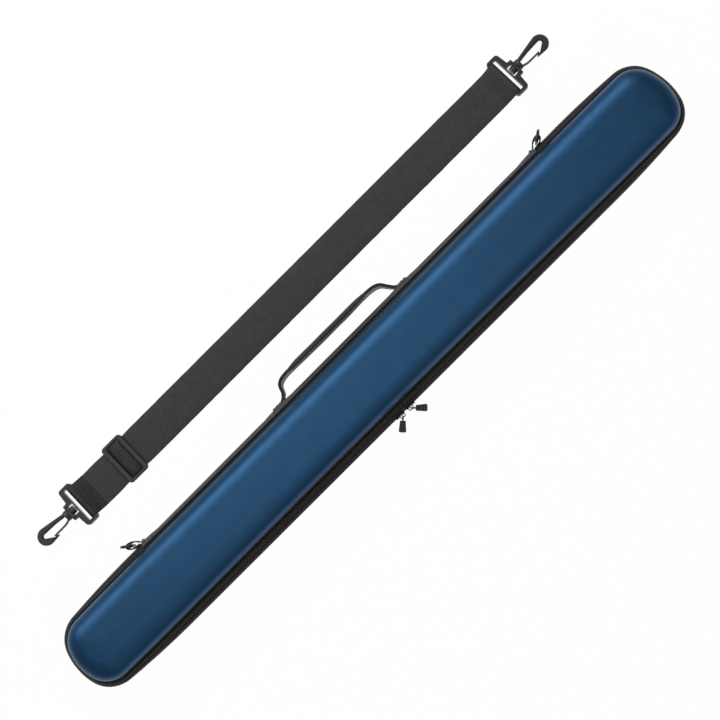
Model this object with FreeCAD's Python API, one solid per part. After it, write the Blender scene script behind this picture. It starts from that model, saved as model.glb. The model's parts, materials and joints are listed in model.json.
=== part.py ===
import FreeCAD, Part
import math
import os

# Two-piece cue carry case: a moulded clamshell that lies on its back, with a zip round three
# sides, a cloth spine down the fourth, a handle and two D-rings on the spine, and its
# shoulder strap laid beside it.  Millimetres; +X runs along the case, +Y points to the
# handle, +Z up.  The origin is the centre of the face that the case rests on.

V = FreeCAD.Vector
X_AXIS = V(1, 0, 0)
Y_AXIS = V(0, 1, 0)
Z_AXIS = V(0, 0, 1)

# ---- Driving dimensions -------------------------------------------------------------------

# The case as a whole, over the zip.
case_length = 830.0
case_width = 92.0
case_height = 62.0
zip_end_radius = 66.0
zip_corner_radius = 33.0
zip_side_radius = 960.0
side_run = 117.0            # from each end to where the sides run straight

# The two moulded shells.
shell_length = 822.0
shell_width = 74.0
shell_end_radius = 50.0
shell_corner_radius = 28.0
shell_side_radius = 4000.0
shell_depth = 18.0
shell_wall = 3.6
shell_edge_radius = 15.5
lip_height = 1.2
lip_reach = 0.6

# The cloth band between a shell and the zip, as a share of the way out to the zip.
band_cloth = 2.2
band_tuck = 0.7
band_crown_share = 0.34
band_crown_drop = 1.5
band_seam_share = 0.62
band_seam_drop = 6.4

# The zip.
tape_cloth = 0.9
tape_tuck = 0.6
tape_flat = 2.1
coil_height = 1.9
coil_depth = 0.8
zip_slit = 1.8
zip_stop_length = 3.0

# The cloth spine that the lid folds on.
spine_left_margin = 133.0   # from each end of the case to the near end of the spine
spine_right_margin = 142.0
spine_height = 21.0
spine_crown = 4.5
spine_inset = 5.0           # from the zip's outermost line in to the two fold lines
spine_cloth = 2.4
fold_gap = 0.3

# The foam inside.
lining_gap = 0.3
tray_height = 25.0
butt_channel = 31.0
shaft_channel = 24.0
channel_gap = 4.0
channel_wall = 4.0
channel_end_wall = 14.0
lid_pad_height = 18.0
band_strap_width = 25.0
band_strap_cloth = 1.0
band_strap_span = 400.0

# The handle and the loops on the spine.
carry_width = 18.0
handle_cloth = 2.6
handle_middle = -1.5
handle_half_span = 80.5
handle_standoff = 19.5
handle_shoulder_in = 18.0
handle_shoulder_drop = 4.0
handle_bend = 7.0
grip_length = 119.0
grip_depth = 6.6
grip_width = 21.0
grip_end_depth = 4.6
grip_end_width = 19.4
grip_edge_share = 0.3
cuff_length = 15.0
cuff_cloth = 3.0
cuff_height = 19.0
cuff_bevel = 1.2
root_width = 9.0
root_gap = 0.3
root_taper = 10.0
loop_cloth = 1.4
loop_width = 13.0
ring_wire = 3.0
wire_sides = 8
ring_knee = 2.2
ring_radius = 9.5
ring_out = 8.8
ring_stand = 6.0
ring_rest_angle = 139.5
ring_play = 0.2
end_cuff_length = 6.0

# The two zip sliders and their pulls.
slider_middle = -1.5
slider_spacing = 14.4
slider_length = 10.6
slider_height = 9.2
slider_plate = 1.1
slider_clearance = 0.3
slider_lip = 1.0
post_length = 3.0
post_thickness = 1.0
inner_plate_height = 6.0
bridge_length = 7.0
bridge_rise = 2.9
bridge_metal = 0.9
bridge_width = 2.4
pull_shift = 1.5
pull_rest_angle = 47.0
link_length = 7.0
link_width = 6.4
link_wire = 1.3
tab_length = 12.0
tab_width = 8.2
tab_root_width = 5.6
tab_thickness = 2.4
tab_hole = 1.9

# The shoulder strap.
strap_middle = 126.5        # from the middle of the case to the middle of the strap
strap_left_bar = -303.0
strap_right_bar = 311.5
strap_width = 40.0
strap_cloth = 1.5
strap_slope = 13.0
stitched_end = 3.0
ply_gap = 0.2
swivel_height = 6.0
hook_ring_width = 47.8
hook_ring_arm = 3.4
hook_ring_thickness = 6.0
hook_bar = 5.0
bar_to_face = 18.3
slot_near = 10.6
shoulder_near = 4.6
shoulder_step = 1.6
boss_width = 19.0
boss_depth = 3.0
boss_thickness = 9.4
boss_window = 12.0
boss_window_depth = 6.3
swivel_shaft = 4.8
swivel_play = 0.2
swivel_head = 8.4
swivel_head_length = 4.4
collar_diameter = 11.6
collar_length = 4.7
hook_thickness = 5.0
hook_reach = 43.0
hook_half_width = 9.5
hook_tip_thickness = 6.5
hook_edge_round = 1.1
gate_thickness = 1.5
gate_width = 4.0
gate_gap = 0.3
glide_x = -241.2
glide_length = 26.4
glide_bar = 5.6
glide_thickness = 3.5
glide_corner = 4.0
glide_centre_bar = 4.2
glide_lift = 0.3

# ---- Heights and places worked out from them ----------------------------------------------

mid = case_height / 2
lid_lip = case_height - shell_depth
slit_top = mid + zip_slit / 2
band_seam = lid_lip - band_seam_drop
fold_low = mid - spine_height / 2
fold_high = mid + spine_height / 2
zip_out = case_width / 2
tape_out = zip_out - coil_depth
spine_left = spine_left_margin - case_length / 2
spine_right = case_length / 2 - spine_right_margin
spine_root = zip_out - spine_inset


# ---- Small tools --------------------------------------------------------------------------

def mix(low, high, share):
    """The value that lies share of the way from low to high."""
    return low + (high - low) * share


def in_xy(p):
    return V(p[0], p[1], 0)


def in_xz(p):
    return V(p[0], 0, p[1])


def in_yz(p):
    return V(0, p[0], p[1])


def closed_wire(plane, start, *moves):
    """A closed outline: a move is a point for a line, or a pair of points for an arc."""
    edges = []
    here = start
    for move in moves + (start,):
        if isinstance(move[0], tuple):
            edges.append(Part.Arc(plane(here), plane(move[0]), plane(move[1])).toShape())
            here = move[1]
        else:
            edges.append(Part.LineSegment(plane(here), plane(move)).toShape())
            here = move
    return Part.Wire(edges)


def prism(plane, along, low, high, start, *moves):
    """The outline pushed along an axis from low to high."""
    face = Part.Face(closed_wire(plane, start, *moves))
    face.translate(along * low)
    return face.extrude(along * (high - low))


def block(x, y, z):
    """A box from three (low, high) pairs."""
    size = [pair[1] - pair[0] for pair in (x, y, z)]
    return Part.makeBox(size[0], size[1], size[2], V(x[0], y[0], z[0]))


def rod(diameter, start, end):
    """A round bar between two points."""
    line = end - start
    return Part.makeCylinder(diameter / 2, line.Length, start, line)


def edges_along(shape, direction, keep):
    """The straight edges that run along a direction and whose middle passes keep."""
    found = []
    for edge in shape.Edges:
        if not isinstance(edge.Curve, Part.Line):
            continue
        if edge.tangentAt(edge.FirstParameter).cross(direction).Length < 1e-6:
            if keep(edge.CenterOfMass):
                found.append(edge)
    return found


def edges_at_height(shape, z):
    """Every edge that lies wholly at one height."""
    box_of = [(edge, edge.BoundBox) for edge in shape.Edges]
    return [edge for edge, box in box_of if abs(box.ZMin - z) + abs(box.ZMax - z) < 1e-4]


def one_solid(shape):
    """The single solid that a union or a cut leaves, with joined faces merged."""
    clean = shape.removeSplitter()
    return clean.Solids[0] if len(clean.Solids) == 1 else clean


def other_half(shape):
    """The same piece of the other shell: a mirror in the plane of the zip."""
    return shape.mirror(V(0, 0, mid), Z_AXIS)


def other_end(shape):
    """The same piece at the other end of the case or strap, about X = 0."""
    return shape.mirror(V(0, 0, 0), X_AXIS)


# ---- Outline of the case ------------------------------------------------------------------

def circles_meet(centre_a, radius_a, centre_b, radius_b):
    """Of the two points that lie on both circles, the one further along +X."""
    line = centre_b - centre_a
    along = (radius_a ** 2 - radius_b ** 2 + line.Length ** 2) / (2 * line.Length)
    aside = math.sqrt(radius_a ** 2 - along ** 2)
    unit = line / line.Length
    foot = centre_a + unit * along
    normal = V(-unit.y, unit.x, 0)
    return max(foot + normal * aside, foot - normal * aside, key=lambda p: p.x)


def outline(share, inset, z):
    """The case's outline seen from above: share 0 is the shell's lip, 1 is the zip."""
    full_half = mix(shell_length, case_length, share) / 2
    half_length = full_half - inset
    half_width = mix(shell_width, case_width, share) / 2 - inset
    end_r = mix(shell_end_radius, zip_end_radius, share) - inset
    corner_r = mix(shell_corner_radius, zip_corner_radius, share) - inset
    side_r = mix(shell_side_radius, zip_side_radius, share) - inset
    end_c = V(half_length - end_r, 0, 0)
    side_c = V(full_half - side_run, half_width - side_r, 0)
    corner_c = circles_meet(end_c, end_r - corner_r, side_c, side_r - corner_r)
    tip = V(half_length, 0, 0)
    side = V(side_c.x, half_width, 0)
    end_joint = end_c + (corner_c - end_c).normalize() * end_r
    side_joint = side_c + (corner_c - side_c).normalize() * side_r

    def halfway(centre, radius, a, b):
        middle = ((a - centre).normalize() + (b - centre).normalize()).normalize()
        return centre + middle * radius

    corner_mid = halfway(corner_c, corner_r, end_joint, side_joint)
    side_mid = halfway(side_c, side_r, side_joint, side)

    def at(p, x_sign, y_sign):
        return V(p.x * x_sign, p.y * y_sign, z)

    def arc(a, b, c):
        return Part.Arc(a, b, c).toShape()

    edges = []
    for x_sign in (1, -1):
        turn = x_sign
        edges.append(arc(at(end_joint, x_sign, -turn), at(tip, x_sign, 1), at(end_joint, x_sign, turn)))
        edges.append(arc(at(end_joint, x_sign, turn), at(corner_mid, x_sign, turn),
                         at(side_joint, x_sign, turn)))
        edges.append(arc(at(side_joint, x_sign, turn), at(side_mid, x_sign, turn), at(side, x_sign, turn)))
        edges.append(Part.LineSegment(at(side, x_sign, turn), at(side, -x_sign, turn)).toShape())
        edges.append(arc(at(side, -x_sign, turn), at(side_mid, -x_sign, turn),
                         at(side_joint, -x_sign, turn)))
        edges.append(arc(at(side_joint, -x_sign, turn), at(corner_mid, -x_sign, turn),
                         at(end_joint, -x_sign, turn)))
    return Part.Wire(edges)


def slab(share, inset, low, high):
    """The case's outline as a plate between two heights."""
    return Part.Face(outline(share, inset, low)).extrude(V(0, 0, high - low))


def ring(outer, inner):
    """A closed hoop between two stacks of outlines, each level a (share, inset, z)."""
    outside = Part.makeLoft([outline(*level) for level in outer], True, True)
    inside = Part.makeLoft([outline(*level) for level in inner], True, True)
    return outside.cut(inside)


# ---- Shells, bands and zip ----------------------------------------------------------------

def lid_shell():
    """A moulded tub: full round shoulders outside, and inside a flat one that the foam seats on."""
    outside = slab(0, 0, lid_lip, case_height)
    outside = outside.makeFillet(shell_edge_radius, edges_at_height(outside, case_height))
    ceiling = case_height - shell_wall
    inside = slab(0, shell_wall, lid_lip, ceiling)
    inside = inside.makeChamfer(shell_edge_radius - shell_wall, edges_at_height(inside, ceiling))
    lip = slab(0, -lip_reach, lid_lip, lid_lip + lip_height).cut(
        slab(0, shell_wall / 2, lid_lip, lid_lip + lip_height))
    return one_solid(outside.fuse(lip).cut(inside))


def hinge_side(low, high):
    """The space that the spine takes out of a band, tape or coil between two heights."""
    return block((spine_left - fold_gap, spine_right + fold_gap), (shell_width / 4, case_width), (low, high))


def lid_band():
    """Cloth from under the shell's lip, over a soft crown and down to the zip's seam."""
    crown = lid_lip - band_crown_drop
    hoop = ring(
        [(0, band_tuck, lid_lip), (band_crown_share, 0, crown), (band_seam_share, 0, band_seam)],
        [(0, band_tuck + band_cloth * 1.2, lid_lip),
         (band_crown_share, band_cloth * 0.8, crown - band_cloth),
         (band_seam_share, band_cloth, band_seam)])
    return one_solid(hoop.cut(hinge_side(0, fold_high + fold_gap / 2)))


def lid_zip_tape():
    flat_top = slit_top + tape_flat
    hoop = ring(
        [(band_seam_share, tape_tuck, band_seam), (1, coil_depth, flat_top), (1, coil_depth, slit_top)],
        [(band_seam_share, tape_tuck + tape_cloth, band_seam),
         (1, coil_depth + tape_cloth, flat_top),
         (1, coil_depth + tape_cloth, slit_top)])
    return one_solid(hoop.cut(hinge_side(0, case_height)))


def lid_zip_coil():
    hoop = slab(1, 0, slit_top, slit_top + coil_height).cut(
        slab(1, coil_depth, slit_top, slit_top + coil_height))
    return one_solid(hoop.cut(hinge_side(0, case_height)))


def zip_stops():
    """A metal clip over each end of the coil, held on the base's half."""
    stops = []
    for x in (spine_left - fold_gap - zip_stop_length, spine_right + fold_gap):
        clip = block((x, x + zip_stop_length), (zip_out + 0.05, zip_out + coil_depth),
                     (mid - zip_slit / 2 - coil_height, mid + zip_slit / 4))
        stops.append(clip)
    return Part.makeCompound(stops)


# ---- Spine --------------------------------------------------------------------------------

spine_radius = ((spine_height / 2) ** 2 + spine_crown ** 2) / (2 * spine_crown)
spine_out = spine_root + spine_crown
spine_centre = spine_out - spine_radius


def spine_end(side):
    return spine_left if side < 0 else spine_right


def spine_skin(inner, outer, half_height, x_low, x_high):
    """A length of the spine's curved section between two radii, trimmed top and bottom."""
    rods = [Part.makeCylinder(r, x_high - x_low, V(x_low, spine_centre, mid), X_AXIS) for r in (outer, inner)]
    trim = block((x_low, x_high), (spine_centre, spine_centre + outer + 1), (mid - half_height, mid + half_height))
    return one_solid(rods[0].cut(rods[1]).common(trim))


def spine_panel():
    return spine_skin(spine_radius - spine_cloth, spine_radius, spine_height / 2 - fold_gap / 2,
                      spine_left, spine_right)


def cuff(x_low, x_high):
    """A patch stitched over the end of a strap on the spine."""
    skin = spine_skin(spine_radius, spine_radius + cuff_cloth, cuff_height / 2, x_low, x_high)
    outside = edges_along(skin, X_AXIS, lambda c: c.y > spine_out - spine_crown)
    outside = [e for e in outside if abs(math.hypot(e.CenterOfMass.y - spine_centre, e.CenterOfMass.z - mid)
                                         - spine_radius - cuff_cloth) < 1e-3]
    return one_solid(skin.makeChamfer(cuff_bevel, outside))


def handle_cuff(side):
    """The patch over one end of the handle; side is -1 for the left and 1 for the right."""
    near = handle_middle + side * handle_half_span
    far = near + side * cuff_length
    return cuff(min(near, far), max(near, far))


def end_cuff(side):
    """The patch over a D-ring's loop, at one end of the spine."""
    near = spine_end(side)
    far = near - side * end_cuff_length
    return cuff(min(near, far), max(near, far))


# ---- Loops and D-rings --------------------------------------------------------------------

ring_bar_y = spine_out + ring_stand


def ring_bar_x(side):
    return spine_end(side) + side * ring_out


def ring_loop(side):
    """Webbing that comes out from under the end cuff and goes round the D-ring's bar."""
    bar = V(ring_bar_x(side), ring_bar_y, 0)
    hole = ring_wire / 2 + ring_play
    around = hole + loop_cloth
    end = spine_end(side)
    low, high = mid - loop_width / 2, mid + loop_width / 2
    cuff_face = spine_out + cuff_cloth
    tongue = prism(
        in_xy, Z_AXIS, low, high,
        (end, cuff_face - loop_cloth), (end, cuff_face), (bar.x - side * around * 0.5, bar.y + around * 0.85),
        (bar.x, bar.y - around))
    eye = Part.makeCylinder(around, loop_width, V(bar.x, bar.y, low), Z_AXIS)
    bore = Part.makeCylinder(hole, loop_width, V(bar.x, bar.y, low), Z_AXIS)
    return one_solid(tongue.fuse(eye).cut(bore))


def many_sided(diameter, centre, along):
    """The outline of a wire about a line in the XZ plane, near enough to round."""
    aside = along.cross(Y_AXIS)
    points = []
    for k in range(wire_sides + 1):
        turn = 2 * math.pi * (k + 0.5) / wire_sides
        points.append(centre + (Y_AXIS * math.sin(turn) + aside * math.cos(turn)) * (diameter / 2))
    return Part.makePolygon(points)


def wire_bend(start, along, centre, axis, degrees):
    """A bent length of wire: its section at start, swung about centre."""
    section = Part.Face(many_sided(ring_wire, start, along))
    return section.revolve(centre, axis, degrees)


def d_ring(side):
    """A welded wire ring: a bar in the loop and a half round that stands out from it."""
    knee = ring_knee
    straight = ring_radius - knee
    bar = Part.Face(many_sided(ring_wire, V(0, 0, -straight), Z_AXIS)).extrude(Z_AXIS * 2 * straight)
    upper = wire_bend(V(0, 0, straight), Z_AXIS, V(knee, 0, straight), Y_AXIS, 90)
    bow = wire_bend(V(knee, 0, ring_radius), X_AXIS, V(knee, 0, 0), Y_AXIS, 180)
    lower = wire_bend(V(knee, 0, -ring_radius), X_AXIS, V(knee, 0, -straight), Y_AXIS, 90)
    shape = bar.fuse([upper, bow, lower])
    shape.rotate(V(0, 0, 0), Z_AXIS, 180 - ring_rest_angle if side > 0 else ring_rest_angle)
    shape.translate(V(ring_bar_x(side), ring_bar_y, mid))
    return one_solid(shape)


# ---- Handle -------------------------------------------------------------------------------

handle_root_y = spine_out + cuff_cloth + root_gap
handle_pivot_y = handle_root_y + root_width / 2
handle_top = spine_out + handle_standoff


def rounded_path(points, radii):
    """A path of straight runs joined by tangent arcs, one radius for each inner point."""
    edges = []
    here = points[0]
    for before, corner, after, radius in zip(points, points[1:], points[2:], radii):
        arriving = (corner - before).normalize()
        leaving = (after - corner).normalize()
        turn = arriving.getAngle(leaving)
        back = radius * math.tan(turn / 2)
        first = corner - arriving * back
        last = corner + leaving * back
        inward = (leaving - arriving).normalize()
        middle = corner + inward * (radius / math.cos(turn / 2) - radius)
        edges.append(Part.LineSegment(here, first).toShape())
        edges.append(Part.Arc(first, middle, last).toShape())
        here = last
    edges.append(Part.LineSegment(here, points[-1]).toShape())
    return Part.Wire(edges)


def handle_path():
    """The line of the handle's webbing from one cuff to the other."""
    half = handle_half_span
    points = []
    for side in (-1, 1):
        run = [(half, handle_root_y), (half - handle_shoulder_in / 3, handle_top - handle_shoulder_drop),
               (half - handle_shoulder_in, handle_top)]
        run = [V(handle_middle + side * x, y, 0) for x, y in run]
        points += run if side < 0 else run[::-1]
    return rounded_path(points, [handle_bend * 1.6, handle_bend * 2, handle_bend * 2, handle_bend * 1.6])


def webbing_outline():
    """The handle seen from one end: full width above, drawn in to a round root at each cuff."""
    root = root_width / 2
    half = carry_width / 2
    return prism(
        in_yz, X_AXIS, handle_middle - 2 * handle_half_span, handle_middle + 2 * handle_half_span,
        (handle_pivot_y, mid - root), ((handle_root_y, mid), (handle_pivot_y, mid + root)),
        (handle_pivot_y + root_taper, mid + half), (handle_top + handle_cloth, mid + half),
        (handle_top + handle_cloth, mid - half), (handle_pivot_y + root_taper, mid - half))


def handle_webbing():
    """Double webbing, bent out from the two cuffs and straight through the grip."""
    path = handle_path()
    start = path.Vertexes[0].Point
    line = path.Edges[0].tangentAt(path.Edges[0].FirstParameter)
    across = V(-line.y, line.x, 0) * (handle_cloth / 2)
    up = V(0, 0, carry_width / 2)
    corners = [start + across + up, start - across + up, start - across - up, start + across - up]
    section = Part.makePolygon(corners + [corners[0]])
    section.translate(V(0, 0, mid))
    path.translate(V(0, 0, mid))
    return one_solid(path.makePipeShell([section], True, False).common(webbing_outline()))


def padded_section(x, depth, width):
    """The grip's section at x: a flat pad with its four long edges broken."""
    y_in, y_out = handle_top - depth / 2, handle_top + depth / 2
    z_low, z_high = mid - width / 2, mid + width / 2
    edge = depth * grip_edge_share
    points = [(y_in, z_low + edge), (y_in + edge, z_low), (y_out - edge, z_low), (y_out, z_low + edge),
              (y_out, z_high - edge), (y_out - edge, z_high), (y_in + edge, z_high), (y_in, z_high - edge)]
    return Part.makePolygon([V(x, y, z) for y, z in points + points[:1]])


def handle_grip():
    """The padded sleeve round the middle of the handle, drawn in at both ends."""
    half = grip_length / 2
    stations = [(-half, 0), (-half * 0.75, 0.85), (-half * 0.3, 1), (half * 0.3, 1), (half * 0.75, 0.85), (half, 0)]
    sections = []
    for x, share in stations:
        depth = mix(grip_end_depth, grip_depth, share)
        width = mix(grip_end_width, grip_width, share)
        sections.append(padded_section(handle_middle + x, depth, width))
    sleeve = Part.makeLoft(sections, True, True)
    core = block((handle_middle - grip_length, handle_middle + grip_length),
                 (handle_top - handle_cloth / 2, handle_top + handle_cloth / 2),
                 (mid - carry_width / 2, mid + carry_width / 2))
    return one_solid(sleeve.cut(core))


# ---- Zip sliders and pulls ----------------------------------------------------------------

slider_face = -(zip_out + slider_clearance)     # the inside of the outer plate
slider_front = slider_face - slider_plate
pull_axis_y = slider_front - bridge_rise + bridge_metal + link_wire / 2 + 0.1


def slider_x(side):
    return slider_middle + side * slider_spacing / 2


def slider(side):
    """Outer plate with one lip under the coil, a post through the slit and an inner plate."""
    x = slider_x(side)
    half = slider_length / 2
    nose = half * 0.45
    tall = slider_height / 2
    outer = prism(
        in_xz, Y_AXIS, slider_front, slider_face,
        (x - half, mid - tall * 0.7), (x - nose, mid - tall), (x + nose, mid - tall),
        (x + half, mid - tall * 0.7), (x + half, mid + tall * 0.7), (x + nose, mid + tall),
        (x - nose, mid + tall), (x - half, mid + tall * 0.7))
    lip = block((x - nose, x + nose), (slider_face, slider_face + slider_lip), (mid - tall, mid - tall + slider_lip))
    inner_high = -(tape_out - tape_cloth - slider_clearance)
    post = block((x - post_length / 2, x + post_length / 2), (slider_face, inner_high),
                 (mid - post_thickness / 2, mid + post_thickness / 2))
    inner = block((x - half * 0.9, x + half * 0.9), (inner_high, inner_high + slider_plate * 0.8),
                  (mid - inner_plate_height / 2, mid + inner_plate_height / 2))
    reach = bridge_length / 2
    bridge_x = x - side * pull_shift
    arch = prism(
        in_xy, Z_AXIS, mid - bridge_width / 2, mid + bridge_width / 2,
        (bridge_x - reach, slider_front), (bridge_x - reach * 0.7, slider_front - bridge_rise),
        (bridge_x + reach * 0.7, slider_front - bridge_rise), (bridge_x + reach, slider_front),
        (bridge_x + reach - bridge_metal, slider_front),
        (bridge_x + reach * 0.7 - bridge_metal * 0.7, slider_front - bridge_rise + bridge_metal),
        (bridge_x - reach * 0.7 + bridge_metal * 0.7, slider_front - bridge_rise + bridge_metal),
        (bridge_x - reach + bridge_metal, slider_front))
    return one_solid(outer.fuse([lip, post, inner, arch]))


def turned_pull(shape, side):
    """A pull drawn pointing along -Y from its axis, turned to rest and put on its slider."""
    shape.rotate(V(0, 0, 0), Z_AXIS, side * pull_rest_angle)
    shape.translate(V(slider_x(side) - side * pull_shift, pull_axis_y, mid))
    return shape


def pull_link(side):
    """An upright link: one leg through the bridge, one through the tab."""
    wire = link_wire / 2
    low, high = -link_length + wire, wire
    half = link_width / 2
    link = block((-wire, wire), (low, high), (-half, half))
    link = link.makeFillet(link_wire, edges_along(link, X_AXIS, lambda c: True))
    window = block((-wire, wire), (low + link_wire, high - link_wire), (-half + link_wire, half - link_wire))
    link = link.cut(window)
    edges = edges_along(link, Y_AXIS, lambda c: True) + edges_along(link, Z_AXIS, lambda c: True)
    return turned_pull(one_solid(link.makeChamfer(wire * 0.5, edges)), side)


def pull_tab(side):
    """A flat tab, narrow at the link and round at its free end."""
    far_leg = -link_length + link_wire
    root = far_leg + tab_hole / 2 + 1.0
    end = root - tab_length
    body = prism(
        in_xy, Z_AXIS, -tab_thickness / 2, tab_thickness / 2,
        (-tab_root_width / 2 + 1, root), (-tab_root_width / 2, root - 1),
        (-tab_width / 2, end + tab_width * 0.35), ((0, end), (tab_width / 2, end + tab_width * 0.35)),
        (tab_root_width / 2, root - 1), (tab_root_width / 2 - 1, root))
    hole = Part.makeCylinder(tab_hole / 2, tab_thickness, V(0, far_leg, -tab_thickness / 2), Z_AXIS)
    return turned_pull(one_solid(body.cut(hole)), side)


# ---- Foam inside --------------------------------------------------------------------------

inside_inset = shell_wall + lining_gap
foam_bevel = shell_edge_radius - inside_inset
channel_split = (butt_channel - shaft_channel) / 2
butt_y = channel_split - channel_gap / 2 - butt_channel / 2
shaft_y = channel_split + channel_gap / 2 + shaft_channel / 2


def cue_tray():
    """Foam in the base with a round-bottomed channel for each half of a cue."""
    top = inside_inset + tray_height
    foam = slab(0, inside_inset, inside_inset, top)
    foam = foam.makeChamfer(foam_bevel, edges_at_height(foam, inside_inset))
    half = shell_length / 2 - inside_inset - channel_end_wall
    for y, width in ((butt_y, butt_channel), (shaft_y, shaft_channel)):
        floor = inside_inset + channel_wall + width / 2
        groove = Part.makeCylinder(width / 2, 2 * half, V(-half, y, floor), X_AXIS)
        above = block((-half, half), (y - width / 2, y + width / 2), (floor, top + 1))
        foam = foam.cut(groove.fuse(above) if floor < top else groove)
    return one_solid(foam)


def retaining_band(side):
    """An elastic band across both channels, sewn to the tray's rim."""
    x = side * band_strap_span / 2
    half = shell_width / 2 - inside_inset
    low = inside_inset + tray_height
    return block((x - band_strap_width / 2, x + band_strap_width / 2), (-half, half), (low, low + band_strap_cloth))


def lid_pad():
    """The lid's foam, lined with plush, that presses on the cue."""
    high = case_height - inside_inset
    foam = slab(0, inside_inset, high - lid_pad_height, high)
    return one_solid(foam.makeChamfer(foam_bevel, edges_at_height(foam, high)))


# ---- Shoulder strap -----------------------------------------------------------------------

strap_low = strap_middle - strap_width / 2
strap_high = strap_middle + strap_width / 2
wrap_in = hook_bar / 2 + ply_gap
wrap_out = wrap_in + strap_cloth


def upper_tangent(centre, radius, point):
    """Where a line from a point touches the top of a circle, both in the XZ plane."""
    away = point - centre
    turn = math.acos(radius / away.Length)
    unit = away / away.Length
    sign = 1 if away.x > 0 else -1
    aside = V(-unit.z, 0, unit.x) * sign
    return centre + (unit * math.cos(turn) + aside * math.sin(turn)) * radius


def wrap_profile(x, inward):
    """Webbing round a hook ring's bar: inward is the way the strap runs from the bar."""
    centre = V(x, 0, swivel_height)
    down = x + inward * strap_slope
    end = down + inward * stitched_end
    top_out = upper_tangent(centre, wrap_out, V(down, 0, 2 * strap_cloth))
    top_in = upper_tangent(centre, wrap_in, V(down, 0, strap_cloth))
    outside = prism(
        in_xz, Y_AXIS, strap_low, strap_high,
        (end, 0), (down, 0), (x, swivel_height - wrap_out),
        ((x - inward * wrap_out, swivel_height), (top_out.x, top_out.z)),
        (down, 2 * strap_cloth), (end, 2 * strap_cloth))
    inside = prism(
        in_xz, Y_AXIS, strap_low, strap_high,
        (down, strap_cloth), (x, swivel_height - wrap_in),
        ((x - inward * wrap_in, swivel_height), (top_in.x, top_in.z)))
    return outside.cut(inside)


def strap_webbing():
    """One length of webbing: sewn round the left bar, flat, round the right bar and back."""
    left_end = strap_left_bar + strap_slope + stitched_end
    right_end = strap_right_bar - strap_slope - stitched_end
    flat = block((left_end, right_end), (strap_low, strap_high), (0, strap_cloth))
    back = block((glide_x, right_end), (strap_low, strap_high), (strap_cloth, 2 * strap_cloth))
    pieces = [back, wrap_profile(strap_left_bar, 1), wrap_profile(strap_right_bar, -1)]
    return one_solid(flat.fuse(pieces))


glide_low = 2 * strap_cloth + glide_lift
glide_inside = glide_length - 2 * glide_bar


def tri_glide():
    """A moulded frame with a centre bar, which the webbing is threaded over."""
    half = glide_length / 2
    wide = hook_ring_width / 2
    frame = block((glide_x - half, glide_x + half), (strap_middle - wide, strap_middle + wide),
                  (glide_low, glide_low + glide_thickness))
    frame = frame.makeFillet(glide_corner, edges_along(frame, Z_AXIS, lambda c: True))
    window = block((glide_x - glide_inside / 2, glide_x + glide_inside / 2),
                   (strap_low - ply_gap, strap_high + ply_gap), (0, case_height))
    frame = frame.cut(window)
    frame = frame.makeChamfer(glide_thickness * 0.25, edges_at_height(frame, glide_low + glide_thickness))
    bar_height = glide_thickness * 0.55
    bar = block((glide_x - glide_centre_bar / 2, glide_x + glide_centre_bar / 2),
                (strap_low - ply_gap - 1, strap_high + ply_gap + 1), (glide_low, glide_low + bar_height))
    return one_solid(frame.fuse(bar))


def glide_webbing():
    """The bit of webbing that is threaded over the centre bar and moves with the glide."""
    half = glide_inside / 2 - ply_gap
    bar_top = glide_low + glide_thickness * 0.55 + ply_gap
    flat = glide_centre_bar / 2
    return prism(
        in_xz, Y_AXIS, strap_low, strap_high,
        (glide_x - half, glide_low), (glide_x - half, glide_low + strap_cloth),
        (glide_x - flat, bar_top + strap_cloth), (glide_x + flat, bar_top + strap_cloth),
        (glide_x + half, glide_low + strap_cloth), (glide_x + half, glide_low),
        (glide_x + flat + ply_gap, bar_top), (glide_x - flat - ply_gap, bar_top))


# The hooks are drawn at the right-hand end, with the boss's outer face at X = 0 and the
# swivel along +X, and the left one is the mirror of it.

gate_root = collar_length + gate_gap
throat_top = hook_half_width - hook_tip_thickness
nose_in = hook_reach * 0.51


def hook_ring():
    """The flat ring that the strap is sewn to, with the swivel's boss and window."""
    wide = hook_ring_width / 2
    half_boss = boss_width / 2
    rear = -(bar_to_face + hook_bar / 2 + 0.6)
    low, high = -hook_ring_thickness / 2, hook_ring_thickness / 2
    plate = prism(
        in_xy, Z_AXIS, low, high,
        (rear, -wide), (-shoulder_near - shoulder_step, -wide), (-shoulder_near, -half_boss),
        (-boss_depth, -half_boss), (-boss_depth, half_boss), (-shoulder_near, half_boss),
        (-shoulder_near - shoulder_step, wide), (rear, wide))
    plate = plate.makeFillet(hook_ring_arm, edges_along(plate, Z_AXIS, lambda c: abs(c.y) > wide - 0.1))
    inner = wide - hook_ring_arm
    opening = block((rear - 1, -slot_near), (-inner, inner), (low, high))
    window = block((-boss_depth - boss_window_depth, -boss_depth), (-boss_window / 2, boss_window / 2), (low, high))
    plate = plate.cut(opening.fuse(window))
    bar = rod(hook_bar, V(-bar_to_face, -inner - 1, 0), V(-bar_to_face, inner + 1, 0))
    boss = block((-boss_depth, 0), (-half_boss, half_boss), (-boss_thickness / 2, boss_thickness / 2))
    boss = boss.makeFillet(boss_thickness * 0.3, edges_along(boss, X_AXIS, lambda c: True))
    bore = rod(swivel_shaft + 2 * swivel_play, V(-boss_depth - 1, 0, 0), V(1, 0, 0))
    return one_solid(plate.fuse([bar, boss]).cut(bore))


def swivel_pin(near):
    """The turned part of the hook: a head inside the boss's window, a shaft and a collar."""
    head = swivel_head / 2
    shaft = swivel_shaft / 2
    collar = collar_diameter / 2
    far = near - swivel_head_length
    profile = Part.Face(closed_wire(
        in_xz, (far, 0), (far, head), (near, head), (near, shaft), (swivel_play * 1.5, shaft),
        (swivel_play * 1.5, collar), (collar_length, collar), (collar_length, 0)))
    return profile.revolve(V(0, 0, 0), X_AXIS, 360)


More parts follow.
